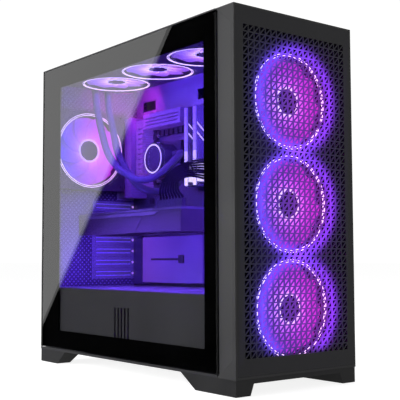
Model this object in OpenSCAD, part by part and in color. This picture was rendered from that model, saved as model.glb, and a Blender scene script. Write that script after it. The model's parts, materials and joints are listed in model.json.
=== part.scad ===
// Mid-tower desktop computer with a glass side, a perforated front and lit fans.
// Origin on the floor under the middle of the case. The front faces -Y, the glass side -X.

/* [Case] */
// Width across the two side panels
case_w = 220; // [215:1:290]
// Depth from the front face to the rear ends of the side panels
case_d = 513; // [500:1:640]
// Height from the floor to the top
case_h = 501; // [495:1:640]
// Height of the feet under the floor pan
foot_h = 21.6; // [18:0.1:30]
// Thickness of the steel sheet
sheet = 1.2; // [0.8:0.1:1.6]
// Thickness of the glass panel
glass_t = 4; // [3:0.5:5]
// Space between the motherboard tray and the right side panel
cable_space = 26.8; // [22:0.1:40]

/* [Front] */
// Depth of the front panel
bezel_d = 37; // [32:0.5:45]
// Width of the perforated field
field_w = 190; // [150:10:190]
// Height of the perforated field
field_h = 430; // [380:10:430]
// Depth of the finger scoops in the sides of the front panel
scoop_d = 4; // [2:0.5:4.5]

/* [Fans] */
// Size of the front and rear fans
big_fan = 140; // [120:1:144]
// Size of the fans under the roof
top_fan = 120; // [92:1:124]
// Thickness of the front and rear fans
fan_t = 25; // [15:1:27]
// Thickness of the slim fans under the roof
slim_fan_t = 15; // [12:1:20]
// Thickness of the radiator
radiator_t = 17.5; // [15:0.5:30]
// Number of blades on a case fan
blades = 9; // [5:1:11]

/* [Board and cards] */
// Height of the motherboard
board_h = 305; // [244:1:305]
// Depth of the motherboard, from its rear edge
board_d = 244; // [220:1:265]
// Length of the graphics card
card_l = 305; // [240:1:310]
// Width of the graphics card from the board out towards the glass
card_w = 116; // [100:1:120]
// Length of the power supply
psu_l = 160; // [140:1:200]

/* [Hidden] */
$fn = 64;

gap = 0.5; // between neighbouring panels
half_w = case_w / 2;
front_y = -case_d / 2;
rear_y = case_d / 2;
floor_z = foot_h + sheet; // top of the floor pan
roof_z = case_h - 2 - sheet; // underside of the roof plate
panel_z0 = foot_h + 4.1; // bottom edge of the side panels
panel_z1 = case_h - 2.4; // top edge of the side panels
frame_y = front_y + bezel_d; // front face of the front frame
inner_y = frame_y + sheet;
panel_y0 = inner_y + 0.1; // front edge of the side panels
rear_in = rear_y - 7; // inner face of the rear panel
glass_frame_t = 1.6;
chassis_x = half_w - glass_t - glass_frame_t; // half width of the chassis sheets
lip_h = 3.6; // side lips of the floor pan
flange_h = 13;

tray_x = half_w - sheet - cable_space; // glass-side face of the tray
standoff_h = 6.5;
board_t = 1.6;
board_x = tray_x - standoff_h - board_t; // component face of the board
shroud_z = floor_z + 103.2; // top of the power supply shroud
shroud_front = inner_y + 22;
board_z0 = shroud_z + 2;
board_y1 = rear_in - 1.5;
board_y0 = board_y1 - board_d;
slot_pitch = 20.32;
slot_z0 = board_z0 + 19.6; // centre of the lowest slot
card_slot = 5; // the card hangs below this slot
card_z = slot_z0 + card_slot * slot_pitch; // middle of the card's board

mesh_t = 1.5;
bezel_z0 = foot_h + 0.2;
bezel_z1 = case_h - 0.5;
bezel_wall = 8;
fan_gap = 12; // from the front face to the light rings
front_fan_z = (bezel_z0 + bezel_z1) / 2 - 15;
rear_fan_x = -half_w + 7 + big_fan / 2;
rear_fan_z = roof_z - 62.8 - big_fan / 2;
top_x = -half_w + 8 + top_fan / 2;
radiator_z = roof_z - radiator_t;
top_fan_z = radiator_z - slim_fan_t;
tank_d = 24; // rear tank of the radiator, which has the hose ports
small_tank_d = 12;
radiator_y1 = rear_in - 39; // rear end of the radiator
top_fan_y = radiator_y1 - tank_d - top_fan / 2; // middle of the rearmost top fan

rail_x = 74; // outer half width of the filter rails
rail_w = 4;
psu_w = 150;
psu_h = 86;
psu_pad = 2;
psu_x0 = tray_x - 2 - psu_w;
psu_z0 = floor_z + psu_pad;
psu_y0 = rear_in - psu_l;
psu_fan_y = rear_in - psu_l / 2 - 8;
psu_fan_x = psu_x0 + psu_w / 2;
psu_fan_r = 58;
inlet_x = psu_x0 + 118;
inlet_z = psu_z0 + 58;
switch_x = psu_x0 + 118;
switch_z = psu_z0 + 26;
rocker_w = 13;
rocker_h = 19;

pump_y = rear_in - 134.5;
pump_z = board_z0 + 216;
pump_r = 27;
pump_x0 = board_x - 8; // underside of the pump's cold plate
pump_x1 = board_x - 45; // face of the pump body
cap_t = 5;
ram_w = 7;
ram_l = 134;
ram_x = board_x - 36;
ram_y = [board_y0 + 33.5, board_y0 + 10.5];
ram_z = board_z0 + 230;

card_fan_r = 44;
card_y1 = rear_in - sheet;
card_y0 = rear_in - card_l;
card_x0 = board_x - 1 - card_w;
card_x1 = board_x - 9; // the shroud and fins stop short of the slot
card_top = card_z + 0.8;
card_bot = card_z - 34;
fin_top = card_z - 0.8;
card_pitch = (card_l - 24) / 3;

btn_y = frame_y + 20;
power_x = 52;
power_r = 6.5;
reset_x = 72;
reset_r = 4;
btn_clear = 0.3;
usb_x = [-62, -38, -16, 2]; // two wide sockets, one small socket, one jack
usb_w = [14, 14, 9, 7];
usb_d = [6.5, 6.5, 3.6, 7];

// ---- shared shapes ----

module box(x0, x1, y0, y1, z0, z1) {
  translate([x0, y0, z0]) cube([x1 - x0, y1 - y0, z1 - z0]);
}

// A hole along Z, Y or X, long enough for any sheet
module hole_z(x, y, z, d, h = 10) {
  translate([x, y, z - h / 2]) cylinder(d = d, h = h);
}

module hole_x(x, y, z, d, h = 10) {
  translate([x - h / 2, y, z]) rotate([0, 90, 0]) cylinder(d = d, h = h);
}

module ring(r0, r1, z0, z1) {
  translate([0, 0, z0])
  difference() {
    cylinder(r = r1, h = z1 - z0);
    translate([0, 0, -1]) cylinder(r = r0, h = z1 - z0 + 2);
  }
}

// Turns a fan so that its light ring, at local z = 0, faces -Y
module face_front(x, y, z) {
  translate([x, y, z]) rotate([-90, 0, 0]) children();
}

// ---- fans: axis on Z, light ring at z = 0, motor arms at the far side ----

function bore_r(size) = size * 0.44;
function light_r0(size) = size * 0.4415;
function light_r1(size) = size * 0.4695;
light_t = 3;
shaft_r = 2;
shaft_clear = 0.05;

module fan_frame(size, t) {
  difference() {
    union() {
      difference() {
        translate([-size / 2, -size / 2, 0]) cube([size, size, t]);
        translate([0, 0, -1]) cylinder(r = bore_r(size), h = t + 2);
        translate([0, 0, -1]) cylinder(r = light_r1(size), h = light_t + 1);
      }
      translate([0, 0, t - 4]) cylinder(r = size * 0.15, h = 4);
      for (a = [45 : 90 : 315])
        rotate([0, 0, a]) translate([0, -2.5, t - 4]) cube([bore_r(size) + 1, 5, 4]);
    }
    translate([0, 0, t - 5]) cylinder(r = shaft_r + shaft_clear, h = 4);
    for (sx = [-1, 1], sy = [-1, 1])
      hole_z(sx * (size / 2 - 7.5), sy * (size / 2 - 7.5), t / 2, 4.3, t + 2);
  }
}

module fan_rotor(r, t, count, hub_r) {
  z0 = 3.5;
  z1 = t - 5;
  translate([0, 0, z0]) cylinder(r = hub_r, h = z1 - z0);
  translate([0, 0, z1 - 1]) cylinder(r = shaft_r, h = 3.5);
  intersection() {
    ring(hub_r - 1, r, z0, z1);
    for (i = [0 : count - 1])
      rotate([0, 0, i * 360 / count])
      translate([0, 0, (z0 + z1) / 2]) rotate([38, 0, 0])
      translate([hub_r - 2, -t, -0.7]) cube([r, 2 * t, 1.4]);
  }
}

module case_rotor(size, t) {
  fan_rotor(bore_r(size) - 1.2, t, blades, size * 0.125);
}

// Two narrow glowing ribs on one diffuser ring
module fan_light(size) {
  r0 = light_r0(size);
  r1 = light_r1(size);
  rib = 1.3;
  rotate_extrude()
  polygon([
    [r0, 0], [r0 + rib, 0], [r0 + rib, 0.8], [r1 - 0.2 - rib, 0.8],
    [r1 - 0.2 - rib, 0], [r1 - 0.2, 0], [r1 - 0.2, light_t], [r0, light_t]
  ]);
}

module at_front_fan(i) {
  face_front(0, front_y + fan_gap, front_fan_z + (i - 1) * big_fan) children();
}

module at_rear_fan() {
  face_front(rear_fan_x, rear_in - fan_t, rear_fan_z) children();
}

module at_top_fan(i) {
  translate([top_x, top_fan_y - i * top_fan, top_fan_z]) children();
}

module front_fan_lights() {
  color("#f0e0ff")
  for (i = [0 : 2])
    at_front_fan(i) fan_light(big_fan);
}

module top_fan_lights() {
  color("#f0e0ff")
  for (i = [0 : 2])
    at_top_fan(i) fan_light(top_fan);
}

// ---- chassis ----

module floor_pan() {
  color("#1c1c1e")
  difference() {
    union() {
      box(-half_w, half_w, frame_y, rear_y, foot_h, floor_z);
      for (s = [-1, 1]) {
        mirror([s < 0 ? 1 : 0, 0, 0]) {
          box(half_w - sheet, half_w, frame_y, rear_y, floor_z - 0.1, foot_h + lip_h);
          box(chassis_x - sheet, chassis_x, inner_y, rear_in, floor_z - 0.1, floor_z + flange_h);
          box(rail_x - rail_w, rail_x, psu_y0 - 6, rear_y, foot_h - 4.6, foot_h + 0.1);
          box(rail_x - 2 * rail_w, rail_x, psu_y0 - 6, rear_y, foot_h - 4.6, foot_h - 3.4);
        }
      }
      for (x = [psu_x0 + 12, psu_x0 + psu_w - 12], y = [psu_y0 + 12, rear_in - 12])
        translate([x, y, floor_z - 0.1]) cylinder(r = 6, h = psu_pad + 0.1);
    }
    for (i = [0 : 10])
      box(psu_fan_x - 50, psu_fan_x + 30, psu_fan_y - 52 + i * 10, psu_fan_y - 46 + i * 10,
        foot_h - 1, floor_z + 1);
    for (s = [-1, 1], y = [inner_y + 40, rear_in - 40])
      hole_x(s * chassis_x, y, floor_z + 9, 5.8);
  }
}

slot_x0 = board_x - 86;
slot_x1 = board_x + 4;
io_x0 = rear_fan_x + big_fan / 2 + 1.5;
io_z0 = slot_z0 + 6 * slot_pitch + 12;
io_z1 = board_z0 + board_h - 1;

module rear_panel() {
  vent_pitch = 9;
  color("#1c1c1e")
  difference() {
    box(-chassis_x, chassis_x, rear_in, rear_in + sheet, floor_z, roof_z);
    for (i = [-7 : 7], j = [-8 : 8]) {
      hx = i * vent_pitch + (j % 2 == 0 ? 0 : vent_pitch / 2);
      hz = j * vent_pitch * 0.866;
      if (hx * hx + hz * hz < 3600)
        translate([rear_fan_x + hx, rear_in - 1, rear_fan_z + hz])
        rotate([-90, 0, 0]) cylinder(d = 7.4, h = sheet + 2, $fn = 6);
    }
    for (k = [0 : 6])
      box(slot_x0, slot_x1 - 6, rear_in - 1, rear_in + sheet + 1,
        slot_z0 + k * slot_pitch - 7, slot_z0 + k * slot_pitch + 7);
    box(io_x0, board_x + 1.5, rear_in - 1, rear_in + sheet + 1, io_z0, io_z1);
    box(psu_x0 + 4, psu_x0 + psu_w - 4, rear_in - 1, rear_in + sheet + 1,
      psu_z0 + 4, psu_z0 + psu_h - 4);
  }
}

filter_x = half_w - 12;
filter_y0 = frame_y + 44;
filter_y1 = rear_y - 16;

module port_cut(i, grow) {
  box(usb_x[i] - usb_w[i] / 2 - grow, usb_x[i] + usb_w[i] / 2 + grow,
    btn_y - usb_d[i] / 2 - grow, btn_y + usb_d[i] / 2 + grow, roof_z - 1, case_h + 1);
}

module top_panel() {
  color("#161617")
  difference() {
    union() {
      box(-chassis_x, chassis_x, frame_y, rear_in + sheet, roof_z, roof_z + sheet);
      difference() {
        box(-half_w, half_w, frame_y, rear_y, roof_z + sheet, case_h);
        box(-filter_x, filter_x, filter_y0, filter_y1, roof_z, case_h + 1);
      }
      for (s = [0, 1])
        mirror([s, 0, 0])
        box(chassis_x - sheet, chassis_x, inner_y, rear_in, roof_z - flange_h, roof_z + 0.1);
    }
    for (i = [0 : 2])
      hole_z(top_x, top_fan_y - i * top_fan, roof_z, top_fan - 8);
    for (y = [0 : 8])
      box(top_x + top_fan / 2 + 10, tray_x - 8, filter_y0 + 20 + y * 40, filter_y0 + 48 + y * 40,
        roof_z - 1, roof_z + sheet + 0.5);
    for (s = [-1, 1], y = [inner_y + 40, rear_in - 40])
      hole_x(s * chassis_x, y, roof_z - 7, 5.8);
    hole_z(power_x, btn_y, roof_z + 2, 2 * (power_r + btn_clear), 12);
    hole_z(reset_x, btn_y, roof_z + 2, 2 * (reset_r + btn_clear), 12);
    for (i = [0 : 3])
      port_cut(i, 0.3);
  }
}

module front_frame() {
  color("#1c1c1e")
  difference() {
    box(-chassis_x, chassis_x, frame_y, inner_y, floor_z, roof_z);
    for (i = [0 : 2])
      translate([0, frame_y - 1, front_fan_z + (i - 1) * big_fan])
      rotate([-90, 0, 0]) cylinder(r = big_fan * 0.46, h = sheet + 2);
  }
}

cable_slot_y = board_y0 - 18;
cable_slot_z0 = board_z0 + 168;

module motherboard_tray() {
  color("#202024")
  difference() {
    union() {
      box(tray_x, tray_x + sheet, inner_y, rear_in, floor_z, roof_z);
      for (y = [board_y0 + 10, board_y0 + board_d / 2, board_y1 - 10],
           z = [board_z0 + 8, board_z0 + board_h / 2, board_z0 + board_h - 8])
        translate([tray_x - standoff_h, y, z]) rotate([0, 90, 0]) cylinder(r = 3, h = standoff_h + 0.1);
    }
    box(tray_x - 1, tray_x + 2, pump_y - 45, pump_y + 45, pump_z - 45, pump_z + 45);
    for (z = [cable_slot_z0, board_z0 + 25])
      box(tray_x - 1, tray_x + 2, cable_slot_y - 12, cable_slot_y + 12, z - 12, z + 52);
    box(tray_x - 1, tray_x + 2, board_y0 + 20, board_y0 + 60, board_z0 + board_h + 12,
      board_z0 + board_h + 30);
    box(tray_x - 1, tray_x + 2, board_y1 - 60, board_y1 - 20, board_z0 + board_h + 12,
      board_z0 + board_h + 30);
    box(tray_x - 1, tray_x + 2, psu_y0 - 70, psu_y0 - 10, floor_z + 12, floor_z + 80);
  }
}

module psu_shroud() {
  side_x = -chassis_x + sheet + 0.2;
  color("#2a2a2d")
  difference() {
    union() {
      box(side_x, side_x + sheet, shroud_front, rear_in, floor_z, shroud_z);
      box(side_x, tray_x, shroud_front, rear_in, shroud_z - sheet, shroud_z);
    }
    for (i = [0 : 4])
      box(side_x - 1, side_x + 3, -5 + i * 9, -1 + i * 9, shroud_z - 72, shroud_z - 26);
    for (i = [0 : 5], j = [0 : 2])
      box(-70 + j * 48, -34 + j * 48, shroud_front + 30 + i * 16, shroud_front + 36 + i * 16,
        shroud_z - 3, shroud_z + 1);
  }
}

// Four short studs that snap into the chassis flanges
module studs(x0, x1) {
  for (y = [inner_y + 40, rear_in - 40], z = [floor_z + 9, roof_z - 7])
    translate([x0, y, z]) rotate([0, 90, 0]) cylinder(r = 2.5, h = x1 - x0);
}

module glass_panel() {
  color([0.25, 0.25, 0.28, 0.3])
  box(-half_w, -half_w + glass_t, panel_y0, rear_y, panel_z0, panel_z1);
}

window_front = 29;
window_rear = 54;
window_top = 34;
window_bot = 29.5;

module glass_frame() {
  x0 = -half_w + glass_t;
  color("#0a0a0a") {
    difference() {
      box(x0, x0 + glass_frame_t, panel_y0 + gap, rear_y - gap, panel_z0 + gap, panel_z1 - gap);
      box(x0 - 1, x0 + 3, panel_y0 + window_front, rear_y - window_rear,
        panel_z0 + window_bot, panel_z1 - window_top);
    }
    studs(x0 + glass_frame_t - 0.1, -chassis_x + sheet);
  }
}

module side_panel() {
  hem = half_w - sheet - chassis_x;
  color("#1c1c1e") {
    difference() {
      box(half_w - sheet - hem, half_w, panel_y0, rear_y, panel_z0, panel_z1);
      box(half_w - 2 * sheet - hem, half_w - sheet, panel_y0 + sheet, rear_y - sheet,
        panel_z0 + sheet, panel_z1 - sheet);
    }
    studs(chassis_x - sheet, half_w - sheet + 0.1);
  }
}

// ---- front panel ----

module scoop() {
  z0 = bezel_z0;
  z1 = bezel_z1;
  y1 = frame_y + 1;
  step = 25;
  intersection() {
    translate([-half_w - 1, 0, 0]) rotate([90, 0, 90]) linear_extrude(scoop_d + 2)
    polygon([
      [front_y + 6, z0 + step], [y1, z0 - 1], [y1, z1 + 1], [front_y + 6, z1 - step]
    ]);
    linear_extrude(case_h * 2)
    polygon([
      [-half_w - 1, front_y + 6], [-half_w, front_y + 6], [-half_w + scoop_d, y1], [-half_w - 1, y1]
    ]);
  }
}

module front_bezel() {
  pocket = 3.2;
  color("#242426")
  difference() {
    box(-half_w, half_w, front_y, frame_y, bezel_z0, bezel_z1);
    box(-half_w + bezel_wall, half_w - bezel_wall, front_y - 1, frame_y + 1,
      bezel_z0 + 5, bezel_z1 - 5);
    box(-half_w + pocket, half_w - pocket, front_y - 1, front_y + mesh_t,
      bezel_z0 + pocket, bezel_z1 - pocket);
    for (s = [0, 1])
      mirror([s, 0, 0]) scoop();
  }
}

// Each cell of the grid is a square with a slanted bar across it
module cell_pair(cell, bar) {
  a = cell - bar;
  d = bar * 0.7071;
  polygon([[0, a], [0, d], [a - d, a]]);
  polygon([[a, 0], [d, 0], [a, a - d]]);
}

module front_mesh() {
  pocket = 3.4;
  cols = 5;
  rows = 11;
  bar = 3;
  cell_w = field_w / cols;
  cell_h = field_h / rows;
  color("#242426")
  translate([0, front_y + mesh_t, 0]) rotate([90, 0, 0]) linear_extrude(mesh_t)
  difference() {
    translate([-half_w + pocket, bezel_z0 + pocket])
      square([case_w - 2 * pocket, bezel_z1 - bezel_z0 - 2 * pocket]);
    for (c = [0 : cols - 1], r = [0 : rows - 1])
      translate([
        (c - cols / 2) * cell_w + bar / 2,
        (bezel_z0 + bezel_z1) / 2 + (r - rows / 2) * cell_h + bar / 2
      ]) cell_pair(min(cell_w, cell_h), bar);
  }
}

module top_filter() {
  color("#101011")
  difference() {
    box(-filter_x + gap, filter_x - gap, filter_y0 + gap, filter_y1 - gap,
      roof_z + sheet, case_h - 0.2);
    for (i = [0 : 7], j = [0 : 3])
      box(-filter_x + 8 + j * 46.5, -filter_x + 50 + j * 46.5,
        filter_y0 + 8 + i * 48, filter_y0 + 52 + i * 48, roof_z, case_h + 1);
  }
}

module psu_filter() {
  z1 = foot_h - 0.4;
  x1 = rail_x - rail_w - 0.4;
  color("#101011")
  difference() {
    union() {
      box(-x1, x1, psu_y0, rear_in - 8, foot_h - 3.4, z1);
      box(-20, 20, rear_in - 8.1, rear_y - 2, foot_h - 3.4, z1);
    }
    for (i = [0 : 3], j = [0 : 2])
      box(-x1 + 6 + j * 43, -x1 + 44 + j * 43, psu_y0 + 6 + i * 36, psu_y0 + 38 + i * 36,
        0, foot_h);
  }
}

// ---- feet ----

pad_t = 0.8;
foot_in = 33; // width of a foot where it meets the case
foot_in_low = 25; // and at the ground

// Front or rear view outline of one foot block at the -X side
module foot_outline(top) {
  polygon([
    [-half_w + 0.8, pad_t], [-half_w + foot_in_low, pad_t],
    [-half_w + foot_in, top], [-half_w + 0.8, top]
  ]);
}

// Side view outline: long at the top, short at the ground, upright at its outer end
module foot_side(y_end, dir, top_l, low_l) {
  polygon([
    [y_end, 0], [y_end + dir * low_l, 0], [y_end + dir * top_l, foot_h], [y_end, foot_h]
  ]);
}

module foot_block(y_end, dir, top_l, low_l) {
  intersection() {
    translate([0, rear_y + 1, 0]) rotate([90, 0, 0]) linear_extrude(case_d + 2) foot_outline(foot_h);
    translate([-half_w - 1, 0, 0]) rotate([90, 0, 90]) linear_extrude(foot_in + 4)
      foot_side(y_end, dir, top_l, low_l);
  }
}

module front_foot() {
  color("#242426") {
    for (s = [0, 1])
      mirror([s, 0, 0]) foot_block(front_y + 0.8, 1, 115, 81);
    box(-half_w + foot_in - 2, half_w - foot_in + 2, front_y + 0.8, frame_y + 20,
      foot_h - 6, foot_h);
  }
}

module rear_feet() {
  color("#242426")
  for (s = [0, 1])
    mirror([s, 0, 0]) foot_block(rear_y, -1, 82, 55);
}

module foot_pads() {
  color("#151515")
  for (s = [0, 1])
    mirror([s, 0, 0]) {
      box(-half_w + 4, -half_w + 21, front_y + 6, front_y + 74, 0, pad_t);
      box(-half_w + 4, -half_w + 21, rear_y - 50, rear_y - 6, 0, pad_t);
    }
}

// ---- cooling ----

// Tube along a route: rings of points joined by quads, closed by flat ends
function unit(v) = v / norm(v);
function tangent(p, i) = unit(p[min(i + 1, len(p) - 1)] - p[max(i - 1, 0)]);
function side_dir(t) = unit(cross(t, abs(t[0]) < 0.9 ? [1, 0, 0] : [0, 1, 0]));

// Catmull-Rom curve through the route's own points
function spline(p, i, t) = let (
    a = p[max(i - 1, 0)], b = p[i], c = p[i + 1], d = p[min(i + 2, len(p) - 1)]
  ) 0.5 * (2 * b + (c - a) * t + (2 * a - 5 * b + 4 * c - d) * t * t
    + (3 * b - a - 3 * c + d) * t * t * t);
function smooth(p, steps) = concat(
    [for (i = [0 : len(p) - 2], k = [0 : steps - 1]) spline(p, i, k / steps)], [p[len(p) - 1]]
  );

module tube(route, r, sides) {
  n = len(route);
  rings = [for (i = [0 : n - 1], k = [0 : sides - 1])
    let (t = tangent(route, i), u = side_dir(t), w = cross(t, u), a = k * 360 / sides)
      route[i] + r * (cos(a) * u + sin(a) * w)];
  walls = [for (i = [0 : n - 2], k = [0 : sides - 1])
    [i * sides + k, (i + 1) * sides + k, (i + 1) * sides + (k + 1) % sides, i * sides + (k + 1) % sides]];
  near_end = [for (k = [0 : sides - 1]) k];
  far_end = [for (k = [sides - 1 : -1 : 0]) (n - 1) * sides + k];
  polyhedron(points = rings, faces = concat(walls, [near_end, far_end]));
}

module radiator() {
  x0 = top_x - top_fan / 2;
  x1 = top_x + top_fan / 2;
  front = top_fan_y - 2.5 * top_fan;
  color("#18181a") {
    difference() {
      box(x0, x1, front - small_tank_d, radiator_y1, radiator_z, roof_z);
      for (i = [0 : 2], j = [0 : 5])
        box(x0 + 5 + j * 18.6, x0 + 20 + j * 18.6, top_fan_y - (i + 0.5) * top_fan + 4,
          top_fan_y - (i - 0.5) * top_fan - 4, radiator_z + 3, roof_z - 3);
    }
    for (p = tank_ports)
      translate([p[0], p[1], radiator_z - 7]) cylinder(r = 6, h = 8);
  }
}

tube_r = 6;
tank_ports = [[top_x + 2, radiator_y1 - tank_d / 2], [top_x + 28, radiator_y1 - tank_d / 2]];
pump_port_x = board_x - 24;
pump_ports = [[pump_port_x, pump_y - pump_r - 5, pump_z + 6], [pump_port_x, pump_y - pump_r - 5, pump_z - 16]];
tank_z = radiator_z - 7;

// Routes are set from the radiator tank and from the pump, whichever is nearer
function from_tank(p, d) = [p[0] + d[0], p[1] + d[1], tank_z + d[2]];
function from_pump(d) = [pump_port_x + d[0], pump_y + d[1], pump_z + d[2]];
tube_a = [
  from_tank(tank_ports[0], [0, 0, 0]), from_tank(tank_ports[0], [0, 0, -3]),
  from_tank(tank_ports[0], [0, 0, -6]), from_tank(tank_ports[0], [0, -2, -16]),
  from_tank(tank_ports[0], [0, -8, -42]), from_tank(tank_ports[0], [-4, -26, -76]),
  from_pump([-97, 34, 14]), from_pump([-100, 8, -10]), from_pump([-99, -21, -29]),
  from_pump([-93, -44, -41]), from_pump([-83, -57, -44]), from_pump([-68, -64, -39]),
  from_pump([-50, -67, -27]), from_pump([-30, -67, -10]), from_pump([-14, -63, 2]),
  from_pump([-3, -50, 6]), from_pump([0, -39, 6]), from_pump([0, -36, 6]), pump_ports[0]
];
tube_b = [
  from_tank(tank_ports[1], [0, 0, 0]), from_tank(tank_ports[1], [0, 0, -3]),
  from_tank(tank_ports[1], [0, 0, -6]), from_tank(tank_ports[1], [0, -2, -16]),
  from_tank(tank_ports[1], [-2, -8, -40]), from_tank(tank_ports[1], [-6, -26, -74]),
  from_pump([-77, 34, 18]), from_pump([-82, 14, -4]), from_pump([-83, -6, -24]),
  from_pump([-80, -22, -42]), from_pump([-72, -34, -54]), from_pump([-58, -44, -60]),
  from_pump([-42, -53, -60]), from_pump([-24, -60, -52]), from_pump([-9, -58, -34]),
  from_pump([-1, -49, -20]), from_pump([0, -39, -16]), from_pump([0, -36, -16]), pump_ports[1]
];

module coolant_tubes() {
  color("#202028") {
    tube(smooth(tube_a, 3), tube_r, 10);
    tube(smooth(tube_b, 3), tube_r, 10);
  }
}

module pump_block() {
  color("#1a1a1e") {
    translate([pump_x1, pump_y, pump_z]) rotate([0, 90, 0]) cylinder(r = pump_r, h = pump_x0 - pump_x1 - 6);
    box(pump_x0 - 6.1, pump_x0, pump_y - 32, pump_y + 32, pump_z - 32, pump_z + 32);
    for (p = pump_ports)
      translate(p) rotate([-90, 0, 0]) cylinder(r = tube_r, h = 24);
  }
}

module pump_cap() {
  color("#303038")
  translate([pump_x1 - cap_t, pump_y, pump_z]) rotate([0, 90, 0])
  difference() {
    cylinder(r = pump_r, h = cap_t);
    translate([0, 0, -1]) ring(pump_r - 4.5, pump_r - 1.5, 0, 2);
  }
}

// ---- board ----

module motherboard() {
  color("#15151a") {
    box(board_x, board_x + board_t, board_y0, board_y1, board_z0, board_z0 + board_h);
    box(pump_x0, board_x + 0.1, pump_y - 26, pump_y + 26, pump_z - 26, pump_z + 26);
  }
}

module board_heatsinks() {
  x1 = board_x;
  color("#3a3a42") {
    difference() {
      box(x1 - 24, x1, pump_y + 68, board_y1 - 44, pump_z - 44, pump_z + 78);
      for (i = [0 : 11])
        box(x1 - 25, x1 - 18, pump_y + 67, board_y1 - 50, pump_z - 38 + i * 9, pump_z - 35 + i * 9);
    }
    difference() {
      box(x1 - 24, x1, pump_y - 44, pump_y + 67, pump_z + 60, pump_z + 86);
      for (i = [0 : 2])
        box(x1 - 25, x1 - 18, pump_y - 38, pump_y + 60, pump_z + 65 + i * 6, pump_z + 67 + i * 6);
    }
    // two cover plates between the card slots, and the taller block in front of them
    box(x1 - 9, x1, board_y0 + 57, board_y1 - 62, board_z0 + 5, slot_z0 + slot_pitch - 5);
    box(x1 - 9, x1, board_y0 + 57, board_y1 - 62, slot_z0 + slot_pitch + 5, slot_z0 + 3 * slot_pitch - 5);
    box(x1 - 11, x1, board_y0 + 24, board_y0 + 58, board_z0 + 5, slot_z0 + 3.2 * slot_pitch);
  }
}

module io_cover() {
  color("#26262c")
  box(board_x - 34, board_x, board_y1 - 43, board_y1 - 22, io_z0 + 2, io_z1 - 4);
}

module ram_sticks() {
  color("#2a2a30")
  for (y = ram_y)
    box(ram_x, board_x - 9, y, y + ram_w, ram_z - ram_l / 2, ram_z + ram_l / 2);
}

module board_sockets() {
  color("#101014") {
    for (y = ram_y)
      difference() {
        box(board_x - 12, board_x, y - 0.5, y + ram_w + 0.5, ram_z - 72, ram_z + 72);
        box(board_x - 13, board_x - 9, y - 1, y + ram_w + 1, ram_z - ram_l / 2 - 0.2, ram_z + ram_l / 2 + 0.2);
      }
    for (k = [1, 3, card_slot])
      box(board_x - 8, board_x, board_y1 - 145, board_y1 - 56,
        slot_z0 + k * slot_pitch - 3.6, slot_z0 + k * slot_pitch + 3.6);
    box(board_x - 12, board_x, board_y0 + 1, board_y0 + 9, ram_z - 20, ram_z + 32);
  }
}

module io_ports() {
  color("#8a8a90") {
    box(io_x0, board_x + 1.5, rear_in - 1, rear_in + sheet, io_z0, io_z1);
    for (i = [0 : 6])
      box(board_x - 30 + (i % 3) * 4, board_x, rear_in - 22, rear_in - 0.9,
        io_z0 + 5 + i * 20, io_z0 + 21 + i * 20);
  }
}

// ---- graphics card ----

module card_backplate() {
  color("#4a4a50")
  difference() {
    box(card_x0, card_x1, card_y0, card_y1 - 2, card_top, card_top + 2);
    for (i = [0 : 5])
      box(card_x0 + 20, card_x0 + 80, card_y0 + 12 + i * 9, card_y0 + 16 + i * 9, card_top - 1, card_top + 3);
  }
}

module card_heatsink() {
  color("#8f9096") {
    // printed board with its edge connector
    box(card_x0 + 1, card_x1, card_y0 + 1, card_y1, card_z - 0.8, card_top);
    box(card_x1 - 0.1, board_x - 8, board_y1 - 144, board_y1 - 57, card_z - 0.8, card_top);
    // fins
    difference() {
      box(card_x0 + 8, card_x1 - 4, card_y0 + 10, card_y1 - 10, card_bot + 16, fin_top + 0.1);
      for (i = [0 : 13])
        box(card_x0 + 7, card_x1 - 3, card_y0 + 18 + i * 20, card_y0 + 22 + i * 20, card_bot + 15, fin_top - 6);
    }
    for (i = [0 : 2])
      translate([(card_x0 + card_x1) / 2, card_y0 + 12 + card_pitch * (i + 0.5), card_bot + 13.5])
      difference() {
        cylinder(r = 9, h = 2.6);
        translate([0, 0, -1]) cylinder(r = shaft_r + shaft_clear, h = 3);
      }
  }
}

module card_shroud() {
  color("#55565c")
  difference() {
    box(card_x0, card_x1, card_y0, card_y1 - 2, card_bot, fin_top);
    box(card_x0 + 3, card_x1 - 3, card_y0 + 3, card_y1 - 5, card_bot + 2.5, fin_top + 1);
    for (i = [0 : 2])
      hole_z((card_x0 + card_x1) / 2, card_y0 + 12 + card_pitch * (i + 0.5), card_bot, 2 * card_fan_r + 2);
  }
}

module card_rotor(i) {
  color("#222226")
  translate([(card_x0 + card_x1) / 2, card_y0 + 12 + card_pitch * (i - 0.5), card_bot - 1])
  fan_rotor(card_fan_r, 18.5, 9, 16);
}

module card_bracket() {
  color("#9a9aa0")
  difference() {
    box(slot_x0 - 2, board_x + 2, rear_in - sheet, rear_in,
      card_z - slot_pitch - 9, card_z + 9);
    for (i = [0 : 3])
      box(slot_x0 + 8 + i * 19, slot_x0 + 22 + i * 19, rear_in - 2, rear_in + 1, card_z - 4, card_z + 3);
    for (i = [0 : 6])
      box(slot_x0 + 8 + i * 10, slot_x0 + 14 + i * 10, rear_in - 2, rear_in + 1,
        card_z - slot_pitch - 5, card_z - slot_pitch + 5);
  }
}

module slot_covers() {
  color("#c8c8d0")
  for (k = [0, 1, 2, 3, 6])
    difference() {
      box(slot_x0 - 2, board_x + 2, rear_in - sheet, rear_in,
        slot_z0 + k * slot_pitch - 9, slot_z0 + k * slot_pitch + 9);
      for (i = [0 : 7])
        box(slot_x0 + 4 + i * 9.6, slot_x0 + 10 + i * 9.6, rear_in - 2, rear_in + 1,
          slot_z0 + k * slot_pitch - 4, slot_z0 + k * slot_pitch + 4);
    }
}

// One screw for each slot, its head outside the rear panel
module thumbscrews() {
  color("#b8b8c0")
  for (k = [0 : 6])
    translate([slot_x1 + 1, rear_in + sheet, slot_z0 + k * slot_pitch]) rotate([-90, 0, 0])
    cylinder(r = 4, h = 4.5);
}

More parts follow.
